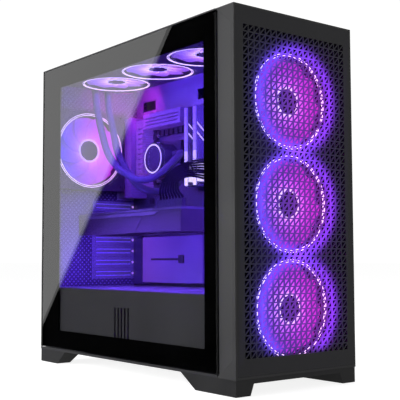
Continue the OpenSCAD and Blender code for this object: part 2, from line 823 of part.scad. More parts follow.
// ---- power supply ----

module psu_case() {
  x1 = psu_x0 + psu_w;
  z1 = psu_z0 + psu_h;
  wall = 1;
  color("#1a1a1c") {
    difference() {
      box(psu_x0, x1, psu_y0, rear_in, psu_z0, z1);
      box(psu_x0 + wall, x1 - wall, psu_y0 + wall, rear_in - wall, psu_z0 + wall, z1 - wall);
      hole_z(psu_fan_x, psu_fan_y, psu_z0, 2 * psu_fan_r, 6);
      box(inlet_x - 14, inlet_x + 14, rear_in - 3, rear_in + 1, inlet_z - 11, inlet_z + 11);
      box(switch_x - rocker_w / 2 - 0.4, switch_x + rocker_w / 2 + 0.4, rear_in - 3, rear_in + 1,
        switch_z - rocker_h / 2 - 0.4, switch_z + rocker_h / 2 + 0.4);
      for (i = [0 : 8], j = [0 : 6])
        translate([psu_x0 + 12 + i * 10.4 + (j % 2) * 5.2, rear_in - 3, psu_z0 + 13 + j * 10])
        rotate([-90, 0, 0]) cylinder(d = 8.4, h = 5, $fn = 6);
    }
    // arms that carry the fan motor
    for (a = [0, 180])
      translate([psu_fan_x, psu_fan_y, psu_z0]) rotate([0, 0, a])
      translate([14, -4, 20]) cube([psu_w / 2 - 14.5, 8, 3]);
    translate([psu_fan_x, psu_fan_y, psu_z0 + 20])
    difference() {
      cylinder(r = 16, h = 3);
      translate([0, 0, -1]) cylinder(r = shaft_r + shaft_clear, h = 3.5);
    }
    // housing that the rocker pivots in
    difference() {
      box(switch_x - rocker_w / 2 - 2, switch_x + rocker_w / 2 + 2, rear_in - 13, rear_in - 0.9,
        switch_z - rocker_h / 2 - 2, switch_z + rocker_h / 2 + 2);
      box(switch_x - rocker_w / 2 - 0.4, switch_x + rocker_w / 2 + 0.4, rear_in - 12, rear_in + 1,
        switch_z - rocker_h / 2 - 0.4, switch_z + rocker_h / 2 + 0.4);
      hole_x(switch_x, rear_in - 8, switch_z, 2 * (pivot_r + shaft_clear), rocker_w + 6);
    }
  }
}

module psu_rotor() {
  color("#222226")
  translate([psu_fan_x, psu_fan_y, psu_z0 - 2])
  fan_rotor(psu_fan_r - 2, 26.5, 11, 18);
}

module psu_inlet() {
  color("#121214") {
    difference() {
      union() {
        box(inlet_x - 13.8, inlet_x + 13.8, rear_in - 22, rear_in + 0.6, inlet_z - 10.8, inlet_z + 10.8);
        box(inlet_x - 15.5, inlet_x + 15.5, rear_in, rear_in + 1.5, inlet_z - 12.5, inlet_z + 12.5);
      }
      box(inlet_x - 11.8, inlet_x + 11.8, rear_in - 16, rear_in + 2, inlet_z - 8, inlet_z + 8);
    }
    for (i = [-1, 0, 1])
      box(inlet_x + i * 6.5 - 1, inlet_x + i * 6.5 + 1, rear_in - 16.1, rear_in - 3,
        inlet_z - 2 + (i == 0 ? 3 : -2), inlet_z + 2 + (i == 0 ? 3 : -2));
  }
}

rocker_tilt = 8;
pivot_r = 1.5;

module psu_switch() {
  r = 14;
  color("#121214")
  translate([switch_x, rear_in - 8, switch_z]) {
    intersection() {
      translate([-rocker_w / 2, 0, 0]) rotate([0, 90, 0]) cylinder(r = r, h = rocker_w);
      box(-rocker_w / 2, rocker_w / 2, -2, r, -rocker_h / 2 + 2.2, rocker_h / 2 - 2.2);
      rotate([rocker_tilt, 0, 0]) box(-rocker_w / 2, rocker_w / 2, -4, 9.4, -r, r);
    }
    translate([-rocker_w / 2 - 1.5, 0, 0]) rotate([0, 90, 0]) cylinder(r = pivot_r, h = rocker_w + 3);
  }
}

// ---- cables ----

wire_r = 2.1;
wires = 8;
plug_x = tray_x + 10;
socket_z = card_top + 2;
outer_wire = [
  [card_x0 + 4, board_y0 - 1, socket_z + 12], [card_x0 + 4, board_y0 - 1, socket_z + 16],
  [card_x0 + 1, board_y0 - 4, socket_z + 27],
  [card_x0 + 4, board_y0 - 9, socket_z + 42], [card_x0 + 15, board_y0 - 14, socket_z + 57],
  [card_x0 + 44, board_y0 - 17, socket_z + 72],
  [tray_x - 42, cable_slot_y, cable_slot_z0 + 36], [tray_x - 10, cable_slot_y, cable_slot_z0 + 38],
  [plug_x, cable_slot_y, cable_slot_z0 + 38]
];
inner_wire = [
  [card_x0 + 4, board_y0 - 57, socket_z + 12], [card_x0 + 4, board_y0 - 57, socket_z + 15],
  [card_x0 + 1, board_y0 - 52, socket_z + 22],
  [card_x0 + 4, board_y0 - 45, socket_z + 31], [card_x0 + 15, board_y0 - 36, socket_z + 42],
  [card_x0 + 44, board_y0 - 26, socket_z + 50],
  [tray_x - 42, cable_slot_y, cable_slot_z0 + 4], [tray_x - 10, cable_slot_y, cable_slot_z0 + 2],
  [plug_x, cable_slot_y, cable_slot_z0 + 2]
];

module power_cables() {
  color("#141418") {
    for (i = [0 : wires - 1]) {
      u = i / (wires - 1);
      tube(smooth(outer_wire * (1 - u) + inner_wire * u, 2), wire_r, 8);
    }
    box(card_x0, card_x0 + 8, board_y0 - 61, board_y0 + 3, socket_z, socket_z + 12);
    box(plug_x, plug_x + 12, cable_slot_y - 5, cable_slot_y + 5, cable_slot_z0 - 3, cable_slot_z0 + 43);
  }
}

// ---- controls on the roof ----

btn_travel = 1.5;
io_board_z = roof_z - 12;
io_board_x = tray_x - 3;

// A button whose flange is held under the roof
module push_button(x, r) {
  translate([x, btn_y, roof_z - 2.5]) {
    cylinder(r = r, h = case_h - roof_z + 2.5);
    cylinder(r = r + 1.2, h = 2.5);
  }
}

module power_button() {
  color("#3a3a40") push_button(power_x, power_r);
}

module reset_button() {
  color("#3a3a40") push_button(reset_x, reset_r);
}

module front_ports() {
  color("#8a8a90") {
    box(-io_board_x, io_board_x, btn_y - 9, btn_y + 9, io_board_z, io_board_z + 1.6);
    for (i = [0 : 3])
      difference() {
        box(usb_x[i] - usb_w[i] / 2, usb_x[i] + usb_w[i] / 2, btn_y - usb_d[i] / 2, btn_y + usb_d[i] / 2,
          io_board_z + 1.5, case_h - 0.4);
        box(usb_x[i] - usb_w[i] / 2 + 0.8, usb_x[i] + usb_w[i] / 2 - 0.8, btn_y - usb_d[i] / 2 + 0.8,
          btn_y + usb_d[i] / 2 - 0.8, io_board_z + 4, case_h + 1);
      }
    for (x = [power_x, reset_x])
      translate([x, btn_y, io_board_z + 1.5]) cylinder(r = 3, h = 12 - 2.5 - btn_travel - 1.6);
    for (x = [-io_board_x + 4, (power_x + reset_x) / 2 + 1])
      translate([x, btn_y, io_board_z + 1.5]) cylinder(r = 3, h = roof_z - io_board_z - 1.5);
  }
}

floor_pan();
rear_panel();
top_panel();
front_frame();
motherboard_tray();
psu_shroud();
glass_panel();
glass_frame();
side_panel();
front_bezel();
front_mesh();
top_filter();
psu_filter();
front_foot();
rear_feet();
foot_pads();
color("#161618") at_front_fan(0) fan_frame(big_fan, fan_t);  // front_fan_frame_1
color("#161618") at_front_fan(1) fan_frame(big_fan, fan_t);  // front_fan_frame_2
color("#161618") at_front_fan(2) fan_frame(big_fan, fan_t);  // front_fan_frame_3
color("#7a50ff") at_front_fan(0) case_rotor(big_fan, fan_t);  // front_fan_rotor_1
color("#7a50ff") at_front_fan(1) case_rotor(big_fan, fan_t);  // front_fan_rotor_2
color("#7a50ff") at_front_fan(2) case_rotor(big_fan, fan_t);  // front_fan_rotor_3
front_fan_lights();
color("#161618") at_top_fan(0) fan_frame(top_fan, slim_fan_t);  // top_fan_frame_1
color("#161618") at_top_fan(1) fan_frame(top_fan, slim_fan_t);  // top_fan_frame_2
color("#161618") at_top_fan(2) fan_frame(top_fan, slim_fan_t);  // top_fan_frame_3
color("#7a50ff") at_top_fan(0) case_rotor(top_fan, slim_fan_t);  // top_fan_rotor_1
color("#7a50ff") at_top_fan(1) case_rotor(top_fan, slim_fan_t);  // top_fan_rotor_2
color("#7a50ff") at_top_fan(2) case_rotor(top_fan, slim_fan_t);  // top_fan_rotor_3
top_fan_lights();
color("#161618") at_rear_fan() fan_frame(big_fan, fan_t);  // rear_fan_frame
color("#7a50ff") at_rear_fan() case_rotor(big_fan, fan_t);  // rear_fan_rotor
color("#f0e0ff") at_rear_fan() fan_light(big_fan);  // rear_fan_light
radiator();
coolant_tubes();
pump_block();
pump_cap();
motherboard();
board_heatsinks();
io_cover();
ram_sticks();
board_sockets();
io_ports();
card_shroud();
card_heatsink();
card_backplate();
card_bracket();
card_rotor(1);  // card_rotor_1
card_rotor(2);  // card_rotor_2
card_rotor(3);  // card_rotor_3
slot_covers();
thumbscrews();
psu_case();
psu_rotor();
psu_switch();
psu_inlet();
power_cables();
power_button();
reset_button();
front_ports();
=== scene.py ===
"""Looks of the desktop computer tower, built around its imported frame."""

import json
from math import pi, radians

import bmesh
import bpy
import numpy as np
from mathutils import Matrix, Vector


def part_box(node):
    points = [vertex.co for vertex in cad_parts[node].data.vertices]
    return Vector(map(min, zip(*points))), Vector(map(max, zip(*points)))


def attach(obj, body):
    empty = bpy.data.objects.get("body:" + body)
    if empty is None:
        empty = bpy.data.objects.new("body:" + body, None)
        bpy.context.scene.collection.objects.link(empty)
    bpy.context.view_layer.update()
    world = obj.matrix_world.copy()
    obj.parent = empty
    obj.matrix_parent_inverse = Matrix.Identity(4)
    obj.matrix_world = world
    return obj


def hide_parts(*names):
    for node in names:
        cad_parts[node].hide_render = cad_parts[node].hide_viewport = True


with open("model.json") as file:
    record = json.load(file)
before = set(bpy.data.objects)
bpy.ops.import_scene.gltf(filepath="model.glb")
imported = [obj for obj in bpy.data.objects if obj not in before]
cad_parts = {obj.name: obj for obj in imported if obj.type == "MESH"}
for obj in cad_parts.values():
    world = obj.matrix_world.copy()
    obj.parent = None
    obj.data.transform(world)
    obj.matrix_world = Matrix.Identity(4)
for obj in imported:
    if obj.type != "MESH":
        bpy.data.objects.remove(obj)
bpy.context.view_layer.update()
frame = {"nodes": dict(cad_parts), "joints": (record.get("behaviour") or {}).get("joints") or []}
nodes = frame["nodes"]
scene = bpy.context.scene
scene.view_settings.view_transform = "Standard"
MM = 0.001


# ---- finishes ----


class Finish:
    """A material whose nodes are added one by one."""

    def __init__(self, name):
        self.material = bpy.data.materials.new(name)
        self.material.use_nodes = True
        self.tree = self.material.node_tree
        self.tree.nodes.clear()
        self.out = self.tree.nodes.new("ShaderNodeOutputMaterial")
        self.shader = self.add("ShaderNodeBsdfPrincipled")
        self.link(self.shader.outputs["BSDF"], self.out.inputs["Surface"])
        self.where = self.add("ShaderNodeTexCoord").outputs["Object"]

    def add(self, kind, **settings):
        node = self.tree.nodes.new(kind)
        for key, value in settings.items():
            setattr(node, key, value)
        return node

    def link(self, a, b):
        self.tree.links.new(a, b)

    def feed(self, value, socket):
        """A number, a colour or another node's output goes into a socket."""
        if hasattr(value, "is_output"):
            self.link(value, socket)
        else:
            socket.default_value = value

    def maths(self, operation, a, b=0.0):
        node = self.add("ShaderNodeMath", operation=operation)
        self.feed(a, node.inputs[0])
        self.feed(b, node.inputs[1])
        return node.outputs[0]

    def axes(self):
        node = self.add("ShaderNodeSeparateXYZ")
        self.link(self.where, node.inputs[0])
        return node.outputs

    def stretched(self, scale):
        node = self.add("ShaderNodeMapping")
        node.inputs["Scale"].default_value = scale
        self.link(self.where, node.inputs["Vector"])
        return node.outputs[0]

    def noise(self, scale, detail=3.0, stretch=(1, 1, 1)):
        node = self.add("ShaderNodeTexNoise")
        node.inputs["Scale"].default_value = scale
        node.inputs["Detail"].default_value = detail
        self.link(self.stretched(stretch), node.inputs["Vector"])
        return node.outputs["Fac"]

    def spread(self, value, low, high, start=0.3, end=0.7):
        node = self.add("ShaderNodeMapRange")
        self.feed(value, node.inputs["Value"])
        for key, number in (("From Min", start), ("From Max", end), ("To Min", low), ("To Max", high)):
            self.feed(number, node.inputs[key])
        return node.outputs["Result"]

    def blend(self, amount, a, b):
        node = self.add("ShaderNodeMix", data_type="RGBA")
        self.feed(amount, node.inputs["Factor"])
        self.feed(a, node.inputs[6])
        self.feed(b, node.inputs[7])
        return node.outputs[2]

    def bump(self, height, strength, distance):
        node = self.add("ShaderNodeBump")
        node.inputs["Strength"].default_value = strength
        node.inputs["Distance"].default_value = distance
        self.link(height, node.inputs["Height"])
        self.link(node.outputs[0], self.shader.inputs["Normal"])

    def ramp(self, value, stops):
        node = self.add("ShaderNodeValToRGB")
        bar = node.color_ramp.elements
        bar[0].position, bar[0].color = stops[0][0], (*stops[0][1], 1)
        bar[1].position, bar[1].color = stops[-1][0], (*stops[-1][1], 1)
        for place, colour in stops[1:-1]:
            bar.new(place).color = (*colour, 1)
        self.link(value, node.inputs[0])
        return node.outputs[0]

    def glow(self, colour, strength):
        self.feed(colour, self.shader.inputs["Emission Color"])
        self.feed(strength, self.shader.inputs["Emission Strength"])


def skin(name, colour, rough, grain=1400, depth=0.25, mottle=0.18, metal=0.0, stretch=(1, 1, 1),
         ribs=None, lit=False):
    """Paint, moulded plastic or metal: a slow mottle in colour and roughness, and a fine grain in relief.

    ribs, when given, is (axis number, lines per metre): straight ribs raised along the surface. lit adds painted
    light: emission in the colour stored on the surface's own points, for where lamps behind it shine on its edges.
    """
    f = Finish(name)
    slow = f.noise(14, 4)
    fine = f.noise(grain, 2, stretch)
    base = np.array(colour)
    dark = (*(base * (1 - mottle)), 1)
    pale = (*np.minimum(base * (1 + mottle) + 0.002, 1), 1)
    tone = f.blend(f.spread(slow, 0, 1), dark, pale)
    speck = (*np.minimum(base * (1 + 2 * mottle) + 0.004, 1), 1)
    f.feed(f.blend(f.spread(fine, 0, 0.5, 0.55, 0.75), tone, speck), f.shader.inputs["Base Color"])
    f.feed(f.spread(slow, rough * 0.85, min(rough * 1.15, 1)), f.shader.inputs["Roughness"])
    f.shader.inputs["Metallic"].default_value = metal
    height = fine
    if ribs:
        wave = f.maths("SINE", f.maths("MULTIPLY", f.axes()[ribs[0]], ribs[1] * 2 * pi))
        height = f.maths("ADD", fine, f.maths("MULTIPLY", wave, 4))
    f.bump(height, depth, 0.0003)
    if lit:
        f.glow(f.add("ShaderNodeAttribute", attribute_name="glow").outputs["Color"], 1.0)
    return f


def dots(f, pitch, size, axes=(1, 0, 1)):
    """1 inside staggered round dots on a plane, 0 elsewhere: two square lattices, half a step apart."""
    scale = tuple(a / pitch for a in axes)
    grid = f.stretched(scale)
    found = []
    for shift in (0.0, 0.5):
        moved = f.add("ShaderNodeVectorMath", operation="ADD")
        f.link(grid, moved.inputs[0])
        moved.inputs[1].default_value = tuple(shift * a for a in axes)
        part = f.add("ShaderNodeVectorMath", operation="FRACTION")
        f.link(moved.outputs[0], part.inputs[0])
        centred = f.add("ShaderNodeVectorMath", operation="SUBTRACT")
        f.link(part.outputs[0], centred.inputs[0])
        centred.inputs[1].default_value = tuple(0.5 * a for a in axes)
        length = f.add("ShaderNodeVectorMath", operation="LENGTH")
        f.link(centred.outputs[0], length.inputs[0])
        found.append(length.outputs["Value"])
    return f.maths("LESS_THAN", f.maths("MINIMUM", *found), size)


def perforated(name, colour, rough, pitch, size, axes, inside=None, plane=0.0):
    """Sheet metal or net with small staggered holes, drawn as dark dots of painted shade pressed into the surface.

    inside, when given, is the holes' colour on the side of the sheet before a plane across Y: painted light, where
    light fills them.
    """
    f = skin(name, colour, rough)
    tone = f.shader.inputs["Base Color"].links[0].from_socket
    hole = dots(f, pitch, size, axes)
    # Painted shade: the holes' dark colour.
    dark = (0.004, 0.003, 0.008, 1)
    if inside:
        dark = f.blend(f.maths("GREATER_THAN", f.axes()[1], plane), (*inside, 1), dark)
    f.link(f.blend(hole, tone, dark), f.shader.inputs["Base Color"])
    f.bump(f.maths("SUBTRACT", 1.0, hole), 0.6, 0.0006)
    return f


def lit_by_attribute(name, rough, strength):
    """Translucent plastic that glows in the colour stored on its own points."""
    f = Finish(name)
    shade = f.add("ShaderNodeAttribute", attribute_name="glow").outputs["Color"]
    cloud = f.spread(f.noise(60, 3), 0.88, 1.1)
    f.glow(shade, f.maths("MULTIPLY", cloud, strength))
    f.shader.inputs["Base Color"].default_value = (0.05, 0.03, 0.09, 1)
    f.feed(f.spread(f.noise(40, 3), rough * 0.8, rough * 1.2), f.shader.inputs["Roughness"])
    f.bump(f.noise(500, 2), 0.15, 0.0003)
    return f


paint = skin("chassis_powder_coat", (0.022, 0.022, 0.024), 0.42)
roof_paint = skin("roof_powder_coat", (0.02, 0.02, 0.022), 0.42)
tray_paint = skin("inner_powder_coat", (0.12, 0.11, 0.15), 0.45)
shroud_paint = skin("shroud_paint", (0.085, 0.085, 0.082), 0.4, mottle=0.1)
# Painted light: this satin paint glows in the halo stored on the grille's points.
front_paint_with_painted_halo = skin("front_satin_with_painted_halo", (0.019, 0.019, 0.022), 0.42, mottle=0.1, lit=True)
side_plastic = skin("front_panel_plastic", (0.03, 0.03, 0.031), 0.45, mottle=0.1)
foot_plastic = skin("foot_grain", (0.014, 0.014, 0.015), 0.5, grain=900, depth=0.4)
rubber = skin("pad_rubber", (0.012, 0.012, 0.012), 0.8, grain=700, depth=0.5)
border = skin("gloss_black_print", (0.0006, 0.0006, 0.0006), 0.5, grain=60, depth=0.004)
border.shader.inputs["Specular IOR Level"].default_value = 0.02
fan_plastic = skin("fan_grain", (0.014, 0.014, 0.017), 0.5)
radiator_black = skin("radiator_fins", (0.015, 0.015, 0.018), 0.45, ribs=(1, 700), depth=0.4)
pump_black = skin("pump_satin", (0.012, 0.011, 0.018), 0.55)
heatsink = skin("anodised_heatsink", (0.10, 0.10, 0.13), 0.32, metal=0.6, stretch=(1, 1, 12))
card_metal = skin("card_shell", (0.022, 0.021, 0.017), 0.45, stretch=(14, 1, 1))
card_back = skin("card_backplate", (0.07, 0.07, 0.065), 0.35, metal=0.3, stretch=(1, 14, 1))
socket_black = skin("socket_plastic", (0.012, 0.012, 0.015), 0.5)
cover_steel = skin("slot_cover_steel", (0.55, 0.55, 0.6), 0.3, metal=0.8, stretch=(14, 1, 1))
plated = skin("plated_steel", (0.45, 0.45, 0.48), 0.3, metal=0.9, stretch=(1, 1, 14))
psu_paint = skin("supply_crinkle", (0.018, 0.018, 0.02), 0.6, grain=1100, depth=0.7)
button = skin("button_anodised", (0.06, 0.06, 0.065), 0.3, metal=0.7, stretch=(16, 1, 1))
wall = perforated("rear_wall_vents", (0.035, 0.032, 0.045), 0.5, 8.4 * MM, 0.17, (1, 0, 1),
                  (0.15, 0.14, 0.2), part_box("rear_panel")[1].y - 0.6 * MM)
net = perforated("filter_net", (0.02, 0.02, 0.02), 0.6, 1.6 * MM, 0.25, (1, 1, 0))


def board_finish():
    """Circuit board: dark mask with straight traces and fine relief."""
    f = skin("board_mask", (0.02, 0.018, 0.03), 0.35)
    tone = f.shader.inputs["Base Color"].links[0].from_socket
    brick = f.add("ShaderNodeTexBrick")
    brick.inputs["Scale"].default_value = 60
    brick.inputs["Mortar Size"].default_value = 0.03
    turned = f.add("ShaderNodeMapping")
    turned.inputs["Rotation"].default_value = (0, radians(90), 0)
    f.link(f.where, turned.inputs["Vector"])
    f.link(turned.outputs[0], brick.inputs["Vector"])
    trace = brick.outputs["Fac"]
    shade = f.blend(f.maths("MULTIPLY", trace, 0.6), tone, (0.10, 0.09, 0.13, 1))
    f.link(shade, f.shader.inputs["Base Color"])
    f.bump(trace, 0.3, 0.0003)
    return f


def painted_light_metal(name, colour, glow, lines):
    """Brushed cover with painted light standing in for the fans' light: an emission in fine slanted lines, brighter
    towards the rear of the case.
    """
    f = skin(name, colour, 0.4, stretch=(1, 1, 8))
    place = f.axes()
    slant = f.maths("ADD", place[2], f.maths("MULTIPLY", place[1], lines[0]))
    wave = f.maths("SINE", f.maths("MULTIPLY", slant, lines[1]))
    level = f.maths("MULTIPLY", f.spread(wave, 0.7, 1.1, -1, 1), f.spread(place[1], 0.4, 1.0, 0.04, 0.2))
    f.glow(f.ramp(f.spread(place[1], 0, 1, 0.06, 0.22), [(0.0, glow[0]), (1.0, glow[1])]), level)
    return f


def glass_finish():
    """Lightly smoked glass: clear through, with a mirror that strengthens at shallow angles."""
    f = Finish("smoked_glass")
    clear = f.add("ShaderNodeBsdfTransparent")
    haze = f.spread(f.noise(6, 3), 0.0, 1.0)
    f.link(f.blend(haze, (0.90, 0.90, 0.93, 1), (0.92, 0.92, 0.95, 1)), clear.inputs["Color"])
    mirror = f.add("ShaderNodeBsdfGlossy")
    mirror.inputs["Roughness"].default_value = 0.0
    facing = f.add("ShaderNodeLayerWeight")
    facing.inputs["Blend"].default_value = 0.5
    amount = f.maths("MULTIPLY_ADD", f.maths("POWER", facing.outputs["Facing"], 5.0), 0.9)
    amount.node.inputs[2].default_value = 0.25
    mix = f.add("ShaderNodeMixShader")
    f.link(amount, mix.inputs[0])
    f.link(clear.outputs[0], mix.inputs[1])
    f.link(mirror.outputs[0], mix.inputs[2])
    f.shader.inputs["Base Color"].default_value = (0.004, 0.004, 0.004, 1)
    f.shader.inputs["Roughness"].default_value = 0.5
    f.bump(f.noise(60, 3), 0.01, 0.0003)
    rim = f.add("ShaderNodeMixShader")
    f.link(f.maths("GREATER_THAN", f.axes()[1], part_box("glass_panel")[1].y - 5 * MM), rim.inputs[0])
    f.link(mix.outputs[0], rim.inputs[1])
    f.link(f.shader.outputs[0], rim.inputs[2])
    f.link(rim.outputs[0], f.out.inputs["Surface"])
    return f

board = board_finish()
glass = glass_finish()
lit_plastic = lit_by_attribute("lit_blade_plastic", 0.4, 1.0)
# Painted light: the board covers and the port cover's ribs glow in emission standing in for the fans' light.
cover_metal_painted_glow = painted_light_metal("board_covers_painted_glow", (0.06, 0.055, 0.07), ((0.07, 0.02, 0.5), (0.22, 0.06, 0.55)),
                        (0.9, 1500))
cover_ribs_painted_glow = painted_light_metal("port_cover_ribs", (0.07, 0.06, 0.09), ((0.02, 0.006, 0.2), (0.04, 0.008, 0.16)),
                       (0.0, 1300))

FINISH_OF = {
    paint: "floor_pan front_frame side_panel",
    roof_paint: "top_panel",
    tray_paint: "motherboard_tray",
    wall: "rear_panel",
    shroud_paint: "psu_shroud",
    glass: "glass_panel",
    border: "glass_frame",
    side_plastic: "front_bezel",
    front_paint_with_painted_halo: "front_mesh",
    net: "top_filter psu_filter",
    foot_plastic: "front_foot rear_feet",
    rubber: "foot_pads",
    fan_plastic: "top_fan_frame_1 top_fan_frame_2 top_fan_frame_3 rear_fan_frame psu_rotor"
    " card_rotor_1 card_rotor_2 card_rotor_3 front_fan_frame_1 front_fan_frame_2 front_fan_frame_3",
    lit_plastic: "front_fan_rotor_1 front_fan_rotor_2 front_fan_rotor_3 top_fan_rotor_1 top_fan_rotor_2"
    " top_fan_rotor_3 rear_fan_rotor",
    radiator_black: "radiator",
    pump_black: "pump_block pump_cap coolant_tubes",
    board: "motherboard",
    cover_metal_painted_glow: "board_heatsinks",
    cover_ribs_painted_glow: "io_cover",
    heatsink: "ram_sticks card_heatsink",
    socket_black: "board_sockets psu_inlet psu_switch power_cables",
    plated: "io_ports card_bracket thumbscrews front_ports",
    card_metal: "card_shroud",
    card_back: "card_backplate",
    cover_steel: "slot_covers",
    psu_paint: "psu_case",
    button: "power_button reset_button",
}
for finish, names in FINISH_OF.items():
    for name in names.split():
        mesh = nodes[name].data
        mesh.materials.clear()
        mesh.materials.append(finish.material)


# ---- making surfaces ----


def grid_quads(rows, columns, wrap_rows=False, wrap_columns=False):
    """Corner numbers of the quads between neighbouring points of a grid."""
    i, j = np.meshgrid(np.arange(rows - (not wrap_rows)), np.arange(columns - (not wrap_columns)), indexing="ij")
    i2, j2 = (i + 1) % rows, (j + 1) % columns
    return np.stack([i * columns + j, i * columns + j2, i2 * columns + j2, i2 * columns + j], -1).reshape(-1, 4)


class Shell:
    """Collects surfaces, in metres, and makes one object of them."""

    def __init__(self):
        self.points, self.faces, self.finish, self.smooth, self.glow, self.count = [], [], [], [], [], 0

    def add(self, points, faces, finish=0, smooth=True, glow=None):
        points = np.asarray(points, float).reshape(-1, 3)
        shade = np.zeros((len(points), 4))
        if glow is not None:
            shade[:, :3] = np.broadcast_to(glow, (len(points), 3))
        shade[:, 3] = 1
        self.points.append(points)
        self.glow.append(shade)
        if isinstance(faces, np.ndarray):
            faces = (faces + self.count).tolist()
        else:
            faces = [[k + self.count for k in face] for face in faces]
        self.faces += faces
        self.finish += [finish] * len(faces)
        self.smooth += [smooth] * len(faces)
        self.count += len(points)

    def make(self, name, body, finishes, replaced=()):
        """The object: normals outward, riding on a CAD body, standing for the nodes it replaces."""
        mesh = bpy.data.meshes.new(name)
        mesh.from_pydata(np.concatenate(self.points).tolist(), [], self.faces)
        mesh.polygons.foreach_set("material_index", self.finish)
        mesh.polygons.foreach_set("use_smooth", self.smooth)
        shade = mesh.attributes.new("glow", "FLOAT_COLOR", "POINT")
        shade.data.foreach_set("color", np.concatenate(self.glow).ravel())
        for finish in finishes:
            mesh.materials.append(finish.material)
        work = bmesh.new()
        work.from_mesh(mesh)
        bmesh.ops.remove_doubles(work, verts=work.verts, dist=1e-6)
        bmesh.ops.recalc_face_normals(work, faces=work.faces)
        work.to_mesh(mesh)
        work.free()
        piece = bpy.data.objects.new(name, mesh)
        scene.collection.objects.link(piece)
        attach(piece, body)
        if replaced:
            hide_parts(*replaced)
        return piece


def add_block(shell, low, high, finish=0, glow=None):
    """A closed box between two corners."""
    low, high = np.array(low, float) * MM, np.array(high, float) * MM
    corner = np.array([[x, y, z] for x in (0, 1) for y in (0, 1) for z in (0, 1)], float)
    faces = np.array([[0, 1, 3, 2], [4, 6, 7, 5], [0, 4, 5, 1], [2, 3, 7, 6], [0, 2, 6, 4], [1, 5, 7, 3]])
    shell.add(low + corner * (high - low), faces, finish, False, glow)


def turned(profile, steps=64):
    """Surface of revolution about local Z: each (radius, height) of the closed profile goes once round."""
    profile = np.array(profile, float)
    angle = np.arange(steps) * 2 * pi / steps
    x = np.outer(np.cos(angle), profile[:, 0])
    y = np.outer(np.sin(angle), profile[:, 0])
    z = np.outer(np.ones(steps), profile[:, 1])
    points = np.stack([x, y, z], -1)
    return points, grid_quads(steps, len(profile), True, True)


def curve_through(points, steps=8):
    """Catmull-Rom curve: each span is the cubic that leaves and arrives along its neighbours' chords."""
    p = np.array(points, float)
    before = np.vstack([p[:1], p[:-2]])
    after = np.vstack([p[2:], p[-1:]])
    a, b, c, d = before[:, None], p[:-1, None], p[1:, None], after[:, None]
    t = (np.arange(steps) / steps)[None, :, None]
    span = 0.5 * (2 * b + (c - a) * t + (2 * a - 5 * b + 4 * c - d) * t**2 + (3 * b - a - 3 * c + d) * t**3)
    return np.vstack([span.reshape(-1, 3), p[-1:]])


def hose(path, radius, sides=16, reference=(1.0, 0.1, 0.2)):
    """Round tube: a circle of the given radius in the plane square to the path at each of its points."""
    path = np.array(path, float)
    along = np.gradient(path, axis=0)
    along /= np.linalg.norm(along, axis=1)[:, None]
    u = np.cross(along, np.array(reference))
    u /= np.linalg.norm(u, axis=1)[:, None]
    v = np.cross(along, u)
    angle = np.arange(sides) * 2 * pi / sides
    radius = np.broadcast_to(radius, len(path))[:, None, None]
    ring = np.cos(angle)[None, :, None] * u[:, None] + np.sin(angle)[None, :, None] * v[:, None]
    points = path[:, None] + radius * ring
    return points, grid_quads(len(path), sides, False, True)


def add_hose(shell, path, radius, finish=0, sides=16, reference=(1.0, 0.1, 0.2), glow=None):
    """A closed hose, with flat ends."""
    points, faces = hose(path, radius, sides, reference)
    count = points.shape[0] * sides
    shell.add(points * MM, faces, finish, True, glow)
    start = shell.count - count
    for first in (start, shell.count - sides):
        shell.faces.append(list(range(first, first + sides)))
        shell.finish.append(finish)
        shell.smooth.append(False)


# ---- front ----


def spindle(body):
    """Where a turning body's joint sits, in millimetres."""
    return next(Vector(j["pos_m"]) for j in frame["joints"] if j["child"] == body) / MM


